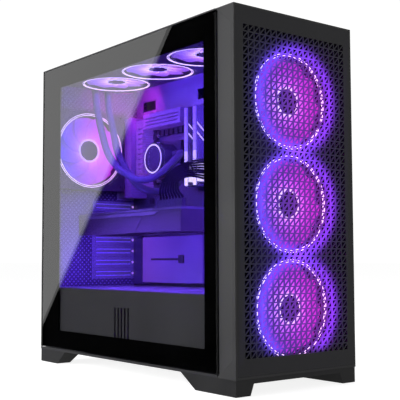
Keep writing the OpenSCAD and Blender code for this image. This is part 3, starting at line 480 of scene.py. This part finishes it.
def front_grille():
    """Flat plate with square cells, each crossed by a slanted bar, so that it has two triangular holes.

    Cell corners lie on one shared lattice; each hole's three corners stand half a bar in from the cell's sides.
    """
    columns, rows, cell, half = 19, 43, 10.0, 0.9
    slant = 1.8 * 0.7071
    low, high = (np.array(v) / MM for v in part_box("front_mesh"))
    x0, z0 = -columns * cell / 2, (low[2] + high[2]) / 2 - rows * cell / 2
    far = cell - half
    upper = [(half, far), (half, half + slant), (far - slant, far)]
    lower = [(far, half), (half + slant, half), (far, far - slant)]
    gx, gz = np.meshgrid(x0 + np.arange(columns + 1) * cell, z0 + np.arange(rows + 1) * cell)
    lattice = np.stack([gx, gz], -1).reshape(-1, 2)
    corner = np.stack([gx[:-1, :-1], gz[:-1, :-1]], -1).reshape(-1, 1, 2)
    holes = (corner + np.array(upper + lower)[None]).reshape(-1, 2)
    outer = np.array([[low[0], low[2]], [high[0], low[2]], [high[0], high[2]], [low[0], high[2]]])
    flat = np.vstack([lattice, holes, outer])
    count = len(flat)
    i, j = np.meshgrid(np.arange(rows), np.arange(columns), indexing="ij")
    p0 = (i * (columns + 1) + j).ravel()
    p1, p3 = p0 + 1, p0 + columns + 1
    p2 = p3 + 1
    first = len(lattice) + 6 * np.arange(rows * columns)
    u0, u1, u2, l0, l1, l2 = (first + k for k in range(6))
    strips = np.concatenate([np.stack(q, 1) for q in ((p0, u1, u0, p3), (p3, u0, u2, p2), (p0, p1, l0, l1),
                                                      (p1, p2, l2, l0))])
    bars = np.stack([p0, l1, l2, p2, u2, u1], 1)
    o = len(lattice) + len(holes)
    top = (rows * (columns + 1) + np.arange(columns + 1)).tolist()
    side = np.arange(rows + 1) * (columns + 1)
    rims = [[o, o + 1] + list(range(columns, -1, -1)), [o + 1, o + 2] + (side[::-1] + columns).tolist(),
            [o + 2, o + 3] + top, [o + 3, o] + side.tolist()]
    sheet = strips.tolist() + bars.tolist() + rims
    back = [[k + count for k in face[::-1]] for face in sheet]
    edges = np.concatenate([np.stack(e, 1) for e in ((u0, u1), (u1, u2), (u2, u0), (l0, l1), (l1, l2), (l2, l0))])
    edges = np.vstack([edges, [[o, o + 1], [o + 1, o + 2], [o + 2, o + 3], [o + 3, o]]])
    walls = np.stack([edges[:, 0], edges[:, 1], edges[:, 1] + count, edges[:, 0] + count], 1)
    points = np.zeros((2 * count, 3))
    points[:, 0] = np.tile(flat[:, 0], 2)
    points[:, 1] = np.repeat([low[1], high[1]], count)
    points[:, 2] = np.tile(flat[:, 1], 2)
    # Painted light: stored per point as emission colour, a halo round each fan's ring (blue to violet from left to
    # right) and a faint wash inside it (blue to pink) stand in for the fans' light on the grille; they move with the
    # front panel.
    shade = np.zeros_like(points)
    ring_r = 66.0
    for number in (1, 2, 3):
        hub = spindle(f"front_rotor_{number}")
        far = np.hypot(points[:, 0] - hub.x, points[:, 2] - hub.z)
        halo = np.exp(-(((far - ring_r) / 8) ** 2)) + 0.18 * np.exp(-np.maximum(far - ring_r, 0) / 14)
        halo = halo[:, None]
        inside = (0.2 * (far < 62) * np.clip(1.3 - far / 62, 0, 1))[:, None]
        across = np.clip(0.5 + (points[:, 0] - hub.x) / 130, 0, 1)[:, None]
        shade += halo * ((1 - across) * np.array([0.14, 0.06, 1.0]) + across * np.array([0.26, 0.03, 1.0]))
        shade += inside * ((1 - across) * np.array([0.2, 0.06, 1.0]) + across * np.array([0.8, 0.02, 0.8]))
    # The painted halo fades out towards the plate's border.
    border = np.array([6.0, 0.0, 21.0])
    edge = np.minimum(points - points.min(0), points.max(0) - points) - border
    shade *= np.clip(edge[:, (0, 2)].min(1) / 12, 0, 1)[:, None]
    shell = Shell()
    shell.add(points * MM, sheet + back + walls.tolist(), 0, False, shade)
    return shell.make("front_grille", "front_panel", [front_paint_with_painted_halo], ["front_mesh"])


# ---- fans ----


def facing_front(points, centre):
    """Local Z goes to +Y and local Y to -Z, as the front and rear fans stand."""
    return np.stack([points[..., 0], points[..., 2], -points[..., 1]], -1) + centre


def facing_down(points, centre):
    """Only moved: local Z stays up, as the fans under the roof lie."""
    return points + centre


def blade_shells(r0, r1, z0, z1, count, sweep=30.0, chord=62.0):
    """Curved blades: at fraction s of the way out, the section is a thin lens whose middle line goes from z0 to
    z1 while it turns by the chord angle; the section leans forward by the sweep angle times s to the power 1.3."""
    s = np.linspace(0, 1, 9)[None, :, None]
    phi = (np.arange(12) * 2 * pi / 12)[None, None, :]
    k = np.arange(count)[:, None, None]
    c = 0.5 - 0.5 * np.cos(phi)
    angle = 2 * pi * k / count + radians(sweep) * s**1.3 + radians(chord) * (c - 0.5) * (1.12 - 0.2 * s)
    radius = r0 + s * (r1 - r0) + 0 * phi
    z = (z0 + z1) / 2 + (c - 0.5) * (z1 - z0 - 1.6) * (1 - 0.15 * s) + 0.7 * np.sin(phi) + 1.2 * np.sin(pi * c) - 0.6
    points = np.stack(np.broadcast_arrays(radius * np.cos(angle), radius * np.sin(angle), z), -1)
    one = grid_quads(9, 12, False, True)
    return points, one


def fan_glow(points, centre, low, high, hub, tip, inner, outer):
    """Colour that turns from low to high along X and fades from the hub outwards."""
    offset = points - np.array(centre)
    far = np.linalg.norm(offset, axis=-1)
    across = np.clip(0.5 + offset[..., 0] / (2.2 * tip), 0, 1)[..., None]
    across = across * across * (3 - 2 * across)
    out = np.clip((far - hub) / (tip - hub), 0, 1)[..., None]
    shade = np.array(low) * (1 - across) + np.array(high) * across
    return shade * (inner * (1 - out) ** 2 + outer) + 0.35 * inner * (1 - out) ** 4


def rotor(name, body, node, place, centre, r_tip, r_hub, z0, z1, blades, low=None, high=None, inner=0.0,
          outer=0.0, sweep=30.0):
    """Hub with a rounded face, a bright ring round it when lit, a shaft and curved blades."""
    shell = Shell()
    lit = low is not None
    centre = np.array(centre)
    hub = [(0, z0 + 0.2), (r_hub * 0.45, z0), (r_hub * 0.8, z0 + 0.1), (r_hub - 0.6, z0 + 0.6),
           (r_hub, z0 + 1.6), (r_hub, z1), (2, z1), (2, z1 + 2.5), (0, z1 + 2.5)]
    points, faces = turned(hub, 48)
    shell.add(place(points, centre) * MM, faces, 1)
    points, one = blade_shells(r_hub - 0.6, r_tip, z0, z1, blades, sweep)
    world = place(points, centre)
    middle = place(np.array([0.0, 0.0, (z0 + z1) / 2]), centre)
    shade = fan_glow(world, middle, low, high, r_hub, r_tip, inner, outer) if lit else np.zeros_like(world)
    for k in range(blades):
        shell.add(world[k] * MM, one, 0, True, shade[k].reshape(-1, 3))
        for end in (0, 8):
            first = shell.count - 9 * 12 + end * 12
            shell.faces.append(list(range(first, first + 12)))
            shell.finish.append(0)
            shell.smooth.append(False)
    if lit:
        ring = [(r_hub + 0.3, z0 + 0.6), (r_hub + 3.4, z0 + 0.6), (r_hub + 3.4, z0 + 2.2),
                (r_hub + 0.3, z0 + 2.2)]
        points, faces = turned(ring, 64)
        world = place(points, centre)
        shade = fan_glow(world, middle, low, high, r_hub, r_tip, 0.5, 0.5) + 0.55
        shell.add(world * MM, faces, 0, True, shade.reshape(-1, 3))
    return shell.make(name, body, [lit_plastic if lit else fan_plastic, fan_plastic], [node])


front_grille()
for number in (1, 2, 3):
    low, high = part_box(f"front_fan_frame_{number}")
    hub = spindle(f"front_rotor_{number}")
    rotor(f"front_blades_{number}", f"front_rotor_{number}", f"front_fan_rotor_{number}", facing_front,
          (hub.x, low.y / MM, hub.z), 60, 17.5, 3.5, 20, 9, (0.2, 0.05, 0.85), (0.85, 0.03, 0.85), 0.9, 0.8)
    low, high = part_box(f"top_fan_frame_{number}")
    hub = spindle(f"top_rotor_{number}")
    rotor(f"top_blades_{number}", f"top_rotor_{number}", f"top_fan_rotor_{number}", facing_down,
          (hub.x, hub.y, low.z / MM), 51.2, 15, 3.5, 10, 9, (0.30, 0.14, 1.0), (0.6, 0.2, 1.0), 2.2, 0.9)
    hub = spindle(f"card_rotor_{number}")
    low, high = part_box(f"card_rotor_{number}")
    rotor(f"card_blades_{number}", f"card_rotor_{number}", f"card_rotor_{number}", facing_down,
          (hub.x, hub.y, low.z / MM - 3.5), 43.6, 16, 3.5, 13.5, 11, sweep=24)
low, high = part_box("rear_fan_frame")
hub = spindle("rear_rotor")
rotor("rear_blades", "rear_rotor", "rear_fan_rotor", facing_front, (hub.x, low.y / MM, hub.z), 60, 17.5, 3.5,
      20, 9, (0.01, 0.01, 1.0), (1.1, 0.02, 1.0), 0.9, 0.85)
low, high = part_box("psu_rotor")
hub = spindle("psu_rotor")
rotor("supply_blades", "psu_rotor", "psu_rotor", facing_down, (hub.x, hub.y, low.z / MM - 3.5), 55.5, 18, 3.5,
      21.5, 9)


# ---- cooling and cables ----

sleeve = skin("braided_sleeve", (0.02, 0.018, 0.03), 0.42, grain=1000, depth=0.5)
wire_sleeve = skin("wire_sleeve", (0.002, 0.002, 0.003), 0.6, grain=1600, depth=0.3)
wire_sleeve.shader.inputs["Specular IOR Level"].default_value = 0.15
HOSE_A = [(-40, 198.5, 473.3), (-40, 198.5, 470.3), (-40, 198.5, 467.3), (-40, 196.5, 457.3), (-40, 190.5, 431.3),
          (-44, 172.5, 397.3), (-47.1, 149, 358), (-50.1, 123, 334), (-49.1, 94, 315), (-43.1, 71, 303),
          (-33.1, 58, 300), (-18.1, 51, 305), (-0.1, 48, 317), (19.9, 48, 334), (35.9, 52, 346), (46.9, 65, 350),
          (49.9, 76, 350), (49.9, 79, 350), (49.9, 83, 350)]
HOSE_B = [(-14, 198.5, 473.3), (-14, 198.5, 470.3), (-14, 198.5, 467.3), (-14, 196.5, 457.3), (-16, 190.5, 433.3),
          (-20, 172.5, 399.3), (-27.1, 149, 362), (-32.1, 129, 340), (-33.1, 109, 320), (-30.1, 93, 302),
          (-22.1, 81, 290), (-8.1, 71, 284), (7.9, 62, 284), (25.9, 55, 292), (40.9, 57, 310), (48.9, 66, 324),
          (49.9, 76, 328), (49.9, 79, 328), (49.9, 83, 328)]


def light_rings(name, node, centres, place, size, low, high, level):
    """For each fan of one node, a dark ring with two thin glowing ribs, coloured from one side to the other."""
    shell = Shell()
    for centre in centres:
        centre = np.array(centre)
        r0, r1 = size * 0.4415, size * 0.4695
        base = [(r0, 0.9), (r1 - 0.2, 0.9), (r1 - 0.2, 3), (r0, 3)]
        points, faces = turned(base, 96)
        shell.add(place(points, centre) * MM, faces, 1)
        for radius in (r0 + 0.1, r1 - 1.1):
            rib = [(radius, 0.1), (radius + 0.45, 0), (radius + 0.9, 0.1), (radius + 0.9, 0.9), (radius, 0.9)]
            points, faces = turned(rib, 128)
            world = place(points, centre)
            across = np.clip(0.5 + (world[..., 0] - centre[0]) / (1.2 * size), 0, 1)[..., None]
            shade = (np.array(low) * (1 - across) + np.array(high) * across) * level
            shell.add(world * MM, faces, 0, True, shade.reshape(-1, 3))
    return shell.make(name, "root", [lit_plastic, fan_plastic], [node])


def coolant_hoses():
    """Two sleeved hoses with a ferrule at each end, three rings turned on each ferrule."""
    shell = Shell()
    for route in (HOSE_A, HOSE_B):
        path = curve_through(route, 6)
        add_hose(shell, path, 6.0, 0, 20)
        for first, last in ((0, 2), (-1, -3)):
            start, end = np.array(route[first]), np.array(route[last])
            share = np.linspace(0, 1, 13)[:, None]
            radius = 6.9 + 0.35 * np.sin(share[:, 0] * 3 * 2 * pi)
            add_hose(shell, start + (end - start) * share, radius, 1, 24)
    return shell.make("coolant_hoses", "root", [sleeve, pump_black], ["coolant_tubes"])


def supply_wires():
    """Eight sleeved wires side by side: each route is a blend of the outermost and the innermost one."""
    card = [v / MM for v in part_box("card_backplate")[0]]
    socket_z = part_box("card_backplate")[1].z / MM
    x, y, z = card[0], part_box("motherboard")[0].y / MM, socket_z
    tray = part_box("motherboard_tray")[1].x / MM - 1.2
    slot_y, slot_z = y - 18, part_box("motherboard")[0].z / MM + 168
    outer = np.array([(x + 4, y - 1, z + 12), (x + 4, y - 1, z + 16), (x + 1, y - 4, z + 27), (x + 4, y - 9, z + 42),
                      (x + 15, y - 14, z + 57), (x + 44, y - 17, z + 72), (tray - 42, slot_y, slot_z + 36),
                      (tray - 10, slot_y, slot_z + 38), (tray + 10, slot_y, slot_z + 38)])
    inner = np.array([(x + 4, y - 57, z + 12), (x + 4, y - 57, z + 15), (x + 1, y - 52, z + 22),
                      (x + 4, y - 45, z + 31), (x + 15, y - 36, z + 42), (x + 44, y - 26, z + 50),
                      (tray - 42, slot_y, slot_z + 4), (tray - 10, slot_y, slot_z + 2),
                      (tray + 10, slot_y, slot_z + 2)])
    shell = Shell()
    for u in np.linspace(0, 1, 8):
        add_hose(shell, curve_through(outer * (1 - u) + inner * u, 6), 1.7, 0, 12)
    for k in range(8):
        low = (x, y - 61 + k * 8, z + 0.6)
        add_block(shell, low, (x + 8, y - 61 + k * 8 + 7.6, z + 12), 1)
    add_block(shell, (x + 0.4, y - 60.6, z), (x + 7.6, y + 2.6, z + 11.4), 1)
    add_block(shell, (tray + 10, slot_y - 5, slot_z - 3), (tray + 22, slot_y + 5, slot_z + 43), 1)
    return shell.make("supply_wires", "root", [wire_sleeve, socket_black], ["power_cables"])


def pump_face():
    """Round cap turned about X: a dark, slightly dished face inside a glowing ring."""
    low, high = (np.array(v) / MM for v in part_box("pump_cap"))
    centre = np.array([low[0], (low[1] + high[1]) / 2, (low[2] + high[2]) / 2])
    depth = high[0] - low[0]

    def place(points):
        """Local Z goes to +X."""
        return (np.stack([points[..., 2], points[..., 1], -points[..., 0]], -1) + centre) * MM

    shell = Shell()
    cap = [(0, 0.9), (12, 0.7), (20, 0.3), (22.4, 0.2), (22.6, 1.6), (25.4, 1.6), (25.6, 0.2), (26.4, 0.1),
           (27, 0.8), (27, depth), (0, depth)]
    points, faces = turned(cap, 96)
    shell.add(place(points), faces, 0)
    ring = [(22.8, 0.35), (24, 0.1), (25.2, 0.35), (25.2, 1.5), (22.8, 1.5)]
    points, faces = turned(ring, 96)
    shell.add(place(points), faces, 1, True, (1.5, 1.3, 1.6))
    return shell.make("pump_face", "root", [pump_black, lit_plastic], ["pump_cap"])


def memory_sticks():
    """Two sticks, each with a metal spreader, slanted light strips on its flank and light blocks on its edge."""
    low, high = (np.array(v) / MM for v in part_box("ram_sticks"))
    width = 7.0
    shell = Shell()
    for y0 in (low[1], high[1] - width):
        y1 = y0 + width
        z0, z1 = low[2], high[2]
        add_block(shell, (low[0] + 3.2, y0 + 0.8, z0), (high[0], y1 - 0.8, z1), 0)
        add_block(shell, (low[0] + 3, y0, z0 + 3), (high[0] - 6, y0 + 1.4, z1 - 3), 0)
        add_block(shell, (low[0] + 3, y1 - 1.4, z0 + 3), (high[0] - 6, y1, z1 - 3), 0)
        steps = 9
        for k in range(steps):
            a = z0 + 2 + k * (z1 - z0 - 4) / steps
            b = a + (z1 - z0 - 4) / steps - 1.0
            share = k / (steps - 1)
            bright = 2.2 if share < 0.4 else 0.8
            shade = np.array([0.75, 0.62, 1.0]) * bright * (1 - share) + np.array([0.28, 0.16, 1.0]) * share
            add_block(shell, (low[0], y0 + 0.9, a), (low[0] + 3.3, y1 - 0.9, b), 1, shade)
        for z in (z0 + 66, z0 + 82):
            slash = np.array([[x, y, z + (high[0] - x) * 0.9 + t] for x in (low[0] + 4, high[0] - 8)
                              for y in (y0 - 0.0, y0 + 1.5) for t in (0, 3.4)]) * MM
            slash[:, 1] -= 0.0002
            faces = np.array([[0, 1, 3, 2], [4, 6, 7, 5], [0, 4, 5, 1], [2, 3, 7, 6], [0, 2, 6, 4], [1, 5, 7, 3]])
            shell.add(slash, faces, 1, False, (1.2, 1.05, 1.5))
        for z in (z0 + 8, z0 + 26):
            add_block(shell, (low[0] + 3.4, y0 - 0.2, z), (high[0] - 8, y0 + 1, z + 14), 1, (1.6, 1.4, 1.9))
    return shell.make("memory_sticks", "root", [heatsink, lit_plastic], ["ram_sticks"])


def plate(shell, outline, x0, x1, finish, glow=None):
    """A flat plate: an outline of (y, z) points carried from x0 to x1."""
    outline = np.array(outline, float)
    n = len(outline)
    points = np.zeros((2, n, 3))
    points[0, :, 0], points[1, :, 0] = x0, x1
    points[..., 1:] = outline
    k = np.arange(n)
    walls = np.stack([k, (k + 1) % n, (k + 1) % n + n, k + n], 1)
    faces = [list(range(n))[::-1], list(range(n, 2 * n))] + walls.tolist()
    shell.add(points * MM, faces, finish, False, glow)


def board_parts():
    """Small parts on the board: chokes, round capacitors, chips, headers, and a cover over its lower half."""
    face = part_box("io_cover")[1].x / MM
    shell = Shell()
    for k in range(8):
        z = 306 + k * 13.5
        add_block(shell, (face - 6, 166, z), (face, 176, z + 10), 0)
        points, faces = turned([(0, 0), (2.6, 0), (3, 0.5), (3, 8), (0, 8)], 16)
        spot = np.stack([face - points[..., 2], 160 + points[..., 0], z + 5 + points[..., 1]], -1)
        shell.add(spot * MM, faces, 1)
    for k in range(7):
        y = 76 + k * 13.5
        add_block(shell, (face - 6, y, 391), (face, y + 10, 401), 0)
    for y, z, w, h in ((14, 230, 12, 12), (60, 232, 9, 9),
                       (120, 270, 16, 6), (180, 272, 10, 10), (8, 262, 8, 20), (214, 210, 14, 14)):
        add_block(shell, (face - 4, y, z), (face, y + w, z + h), 0)
    # Painted light: this cover's finish glows in emission standing in for the fans' light.
    plate(shell, [(62, 132), (204, 132), (204, 212), (62, 212)], face - 9.4, face - 8.6, 2)
    add_block(shell, (face - 11, 96, 171), (face - 9.4, 176, 174.5), 0)
    add_block(shell, (face - 12, 80, 166), (face - 9.4, 94, 180), 0)
    return shell.make("board_parts", "root", [socket_black, plated, cover_metal_painted_glow], ())


def card_trim():
    """Angular plates along the card's outer edge; a paler strip above is a painted highlight on a bevel, and a darker
    plate between them, set back, is painted shade in a recess.
    """
    low, high = (np.array(v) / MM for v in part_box("card_shroud"))
    x, y0, y1, z0, z1 = low[0], low[1], high[1], low[2], high[2]
    shell = Shell()
    plate(shell, [(y0, z0), (y0 + 118, z0), (y0 + 96, z1 - 10), (y0 + 12, z1 - 4), (y0, z1 - 4)], x - 1.2, x + 0.5, 0)
    plate(shell, [(y0 + 124, z0), (y1 - 14, z0), (y1 - 30, z0 + 14), (y0 + 150, z1 - 9), (y0 + 103, z1 - 9)],
          x - 1.0, x + 0.5, 0)
    # Painted highlight: the paler strip stands in for light on a bevel.
    plate(shell, [(y0 + 70, z1 - 6), (y1 - 6, z1 - 6), (y1 - 2, z1 - 1), (y0 + 60, z1 - 1)], x - 0.9, x + 0.5, 1)
    # Painted shade: the darker plate, set back, stands in for shade in a recess.
    plate(shell, [(y1 - 12, z0), (y1 - 1, z0), (y1 - 1, z1 - 9), (y1 - 26, z0 + 16)], x - 0.6, x + 0.5, 2)
    return shell.make("card_trim", "root", [card_metal, card_back, socket_black], ())


def filter_nets():
    """A fine net stretched inside the frame of each filter, moving with it."""
    for node in ("top_filter", "psu_filter"):
        low, high = (np.array(v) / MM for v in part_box(node))
        z = (low[2] + high[2]) / 2
        shell = Shell()
        add_block(shell, (low[0] + 2, low[1] + 2, z - 0.2), (high[0] - 2, high[1] - 2, z + 0.2), 0)
        shell.make(f"{node}_net", node, [net], ())


def slot_plates():
    """Five blanking plates, each with two stamped lines and a screw at its inner end; the lines and the screw head
    glow in emission, painted highlights.
    """
    low, high = (np.array(v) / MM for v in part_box("slot_covers"))
    shell = Shell()
    for k in (0, 1, 2, 3, 6):
        z = low[2] + 9 + k * 20.32
        add_block(shell, (low[0], low[1], max(z - 10, low[2])), (high[0], high[1], min(z + 10, high[2])), 0)
        # Painted highlight: the stamped lines glow violet in emission.
        for line in (-3.4, 3.4):
            add_block(shell, (low[0] + 8, low[1] - 0.4, z + line - 0.6),
                      (high[0] - 9, low[1] + 0.1, z + line + 0.6), 1, (0.30, 0.22, 0.75))
        # Painted highlight: the screw head glows pale pink in emission.
        points, faces = turned([(0, 0), (1.8, 0.2), (2.2, 0.6), (2.2, 1.6), (0, 1.6)], 20)
        spot = np.stack([high[0] - 4 + points[..., 0], low[1] - 1.0 + points[..., 2], z + points[..., 1]], -1)
        shell.add(spot * MM, faces, 1, True, (1.0, 0.55, 1.0))
    return shell.make("slot_plates", "root", [tray_paint, lit_plastic], ["slot_covers"])


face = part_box("front_fan_lights")[0].y / MM
hubs = [spindle(f"front_rotor_{k}") for k in (1, 2, 3)]
light_rings("front_rings", "front_fan_lights", [(hub.x, face, hub.z) for hub in hubs],
            facing_front, 140, (0.6, 0.55, 1.3), (1.3, 0.6, 1.3), 1.8)
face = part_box("rear_fan_light")[0].y / MM
hub = spindle("rear_rotor")
light_rings("rear_rings", "rear_fan_light", [(hub.x, face, hub.z)],
            facing_front, 140, (0.95, 0.85, 1.3), (1.3, 0.7, 1.2), 2.0)
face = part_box("top_fan_lights")[0].z / MM
hubs = [spindle(f"top_rotor_{k}") for k in (1, 2, 3)]
light_rings("top_rings", "top_fan_lights", [(hub.x, hub.y, face) for hub in hubs],
            facing_down, 120, (0.85, 0.7, 1.3), (1.2, 0.8, 1.3), 2.2)
filter_nets()
coolant_hoses()
slot_plates()
supply_wires()
pump_face()
memory_sticks()
board_parts()
card_trim()


# ---- studio ----


def stage_sheet(name, corners, colour, strength, seen):
    """A flat card or light panel that is not part of the tower. seen lists the kinds of ray that meet it."""
    mesh = bpy.data.meshes.new(name)
    mesh.from_pydata([tuple(c) for c in corners], [], [tuple(range(len(corners)))])
    card = bpy.data.objects.new(name, mesh)
    scene.collection.objects.link(card)
    f = Finish(name)
    f.shader.inputs["Base Color"].default_value = (0, 0, 0, 1)
    f.shader.inputs["Roughness"].default_value = 1.0
    f.shader.inputs["Specular IOR Level"].default_value = 0.0
    f.glow((*colour, 1), strength)
    mesh.materials.append(f.material)
    for kind in ("camera", "diffuse", "glossy", "transmission", "volume_scatter", "shadow"):
        setattr(card, "visible_" + kind, kind in seen)


def floor():
    """Plain pale floor that is nearly as bright as the backdrop."""
    mesh = bpy.data.meshes.new("floor")
    mesh.from_pydata([(-30, -30, 0), (30, -30, 0), (30, 60, 0), (-30, 60, 0)], [], [(0, 1, 2, 3)])
    ground = bpy.data.objects.new("floor", mesh)
    scene.collection.objects.link(ground)
    f = Finish("floor_sweep")
    f.shader.inputs["Base Color"].default_value = (0.4, 0.4, 0.4, 1)
    f.shader.inputs["Roughness"].default_value = 0.9
    f.shader.inputs["Specular IOR Level"].default_value = 0.0
    seen = f.add("ShaderNodeLightPath").outputs["Is Camera Ray"]
    f.glow((1, 1, 1, 1), f.maths("MULTIPLY", seen, 0.86))
    mesh.materials.append(f.material)
    ground.visible_glossy = False


def backdrop():
    """White behind the tower, and a softer even light from all round it."""
    world = bpy.data.worlds.new("studio")
    scene.world = world
    world.use_nodes = True
    tree = world.node_tree
    tree.nodes.clear()
    out = tree.nodes.new("ShaderNodeOutputWorld")
    white, soft = tree.nodes.new("ShaderNodeBackground"), tree.nodes.new("ShaderNodeBackground")
    white.inputs["Color"].default_value = (1, 1, 1, 1)
    white.inputs["Strength"].default_value = 1.05
    soft.inputs["Color"].default_value = (1, 1, 1, 1)
    soft.inputs["Strength"].default_value = 0.32
    path, mix = tree.nodes.new("ShaderNodeLightPath"), tree.nodes.new("ShaderNodeMixShader")
    tree.links.new(path.outputs["Is Camera Ray"], mix.inputs[0])
    tree.links.new(soft.outputs[0], mix.inputs[1])
    tree.links.new(white.outputs[0], mix.inputs[2])
    tree.links.new(mix.outputs[0], out.inputs["Surface"])


def lamp(name, place, aim, size, power, colour=(1, 1, 1), glossy=True):
    """A rectangular area light at a place, aimed at a point."""
    data = bpy.data.lights.new(name, "AREA")
    data.shape = "RECTANGLE"
    data.size, data.size_y = size
    data.energy = power
    data.color = colour
    light = bpy.data.objects.new(name, data)
    scene.collection.objects.link(light)
    light.location = place
    light.rotation_euler = (Vector(aim) - Vector(place)).to_track_quat("-Z", "Y").to_euler()
    light.visible_camera = False
    light.visible_glossy = glossy


floor()
backdrop()
# A bright panel beyond the glass side has one slanted edge; the glass mirrors it, and a black card the rest
stage_sheet("side_panel_light",
            [(-1.6, 1.0935, 2.2), (-1.6, 3.803, -1.0), (-1.6, 7.0, -1.0), (-1.6, 7.0, 2.2)],
            (1, 1, 1), 0.62, ("glossy",))
stage_sheet("black_card", [(-1.62, -0.6, 2.4), (-1.62, -0.6, -1.2), (-1.62, 3.99, -1.2), (-1.62, 0.92, 2.4)],
            (0, 0, 0), 0.0, ("glossy",))
lamp("side_lamp", (-2.6, 1.0, 0.9), (0, 0, 0.25), (2.4, 2.0), 160, glossy=False)
lamp("front_lamp", (0.9, -2.6, 1.2), (0, 0, 0.25), (1.6, 1.6), 9, glossy=False)
lamp("top_lamp", (0.0, 0.2, 2.4), (0, 0, 0.4), (1.6, 1.6), 18)

# Lights of the tower itself, inside the case
INSIDE = (
    ("glow_front", (-0.01, -0.205, 0.31), (0, 1, 0), (0.14, 0.34), 7.5, (0.13, 0.045, 1.0)),
    ("glow_roof_front", (-0.042, -0.10, 0.462), (0, 0, -1), (0.10, 0.12), 3.0, (0.16, 0.05, 1.0)),
    ("glow_roof_rear", (-0.042, 0.09, 0.462), (0, 0, -1), (0.10, 0.20), 2.8, (0.22, 0.05, 1.0)),
    ("glow_rear", (-0.033, 0.222, 0.365), (0, -1, 0), (0.12, 0.12), 1.0, (0.35, 0.05, 0.95)),
    ("glow_rear_top", (0.02, 0.17, 0.455), (0.2, 1, -0.2), (0.04, 0.03), 0.6, (0.8, 0.05, 0.8)),
    ("glow_board", (-0.094, 0.02, 0.36), (1, 0.1, -0.1), (0.20, 0.12), 5.5, (0.13, 0.05, 1.0)),
    ("glow_low", (-0.096, 0.05, 0.195), (1, 0, -0.2), (0.30, 0.03), 4.5, (0.15, 0.05, 1.0)),
    ("glow_back_low", (-0.09, 0.17, 0.18), (0.3, 1, 0), (0.03, 0.08), 0.12, (0.22, 0.08, 1.0)),
)
for name, place, way, size, power, colour in INSIDE:
    lamp(name, place, Vector(place) + Vector(way), size, power, colour, glossy=False)
for number in (1, 2, 3):
    hub = spindle(f"front_rotor_{number}") * MM
    for side, colour in ((-1, (0.10, 0.03, 1.0)), (1, (0.75, 0.04, 0.8))):
        lamp(f"grille_glow_{number}_{side + 1}", (hub.x + side * 0.03, hub.y - 0.012, hub.z),
             (hub.x + side * 0.03, -0.5, hub.z), (0.05, 0.12), 0.16, colour, glossy=False)

camera_data = bpy.data.cameras.new("camera")
camera_data.lens = 76.4
camera_data.sensor_width = 36
camera = bpy.data.objects.new("camera", camera_data)
scene.collection.objects.link(camera)
turn = Matrix.Rotation(radians(-38.157), 4, "Z") @ Matrix.Rotation(radians(94.013), 4, "X")
turn = turn @ Matrix.Rotation(radians(-0.219), 4, "Z")
camera.matrix_world = Matrix.Translation((-0.802, -1.0666, 0.172)) @ turn
scene.camera = camera
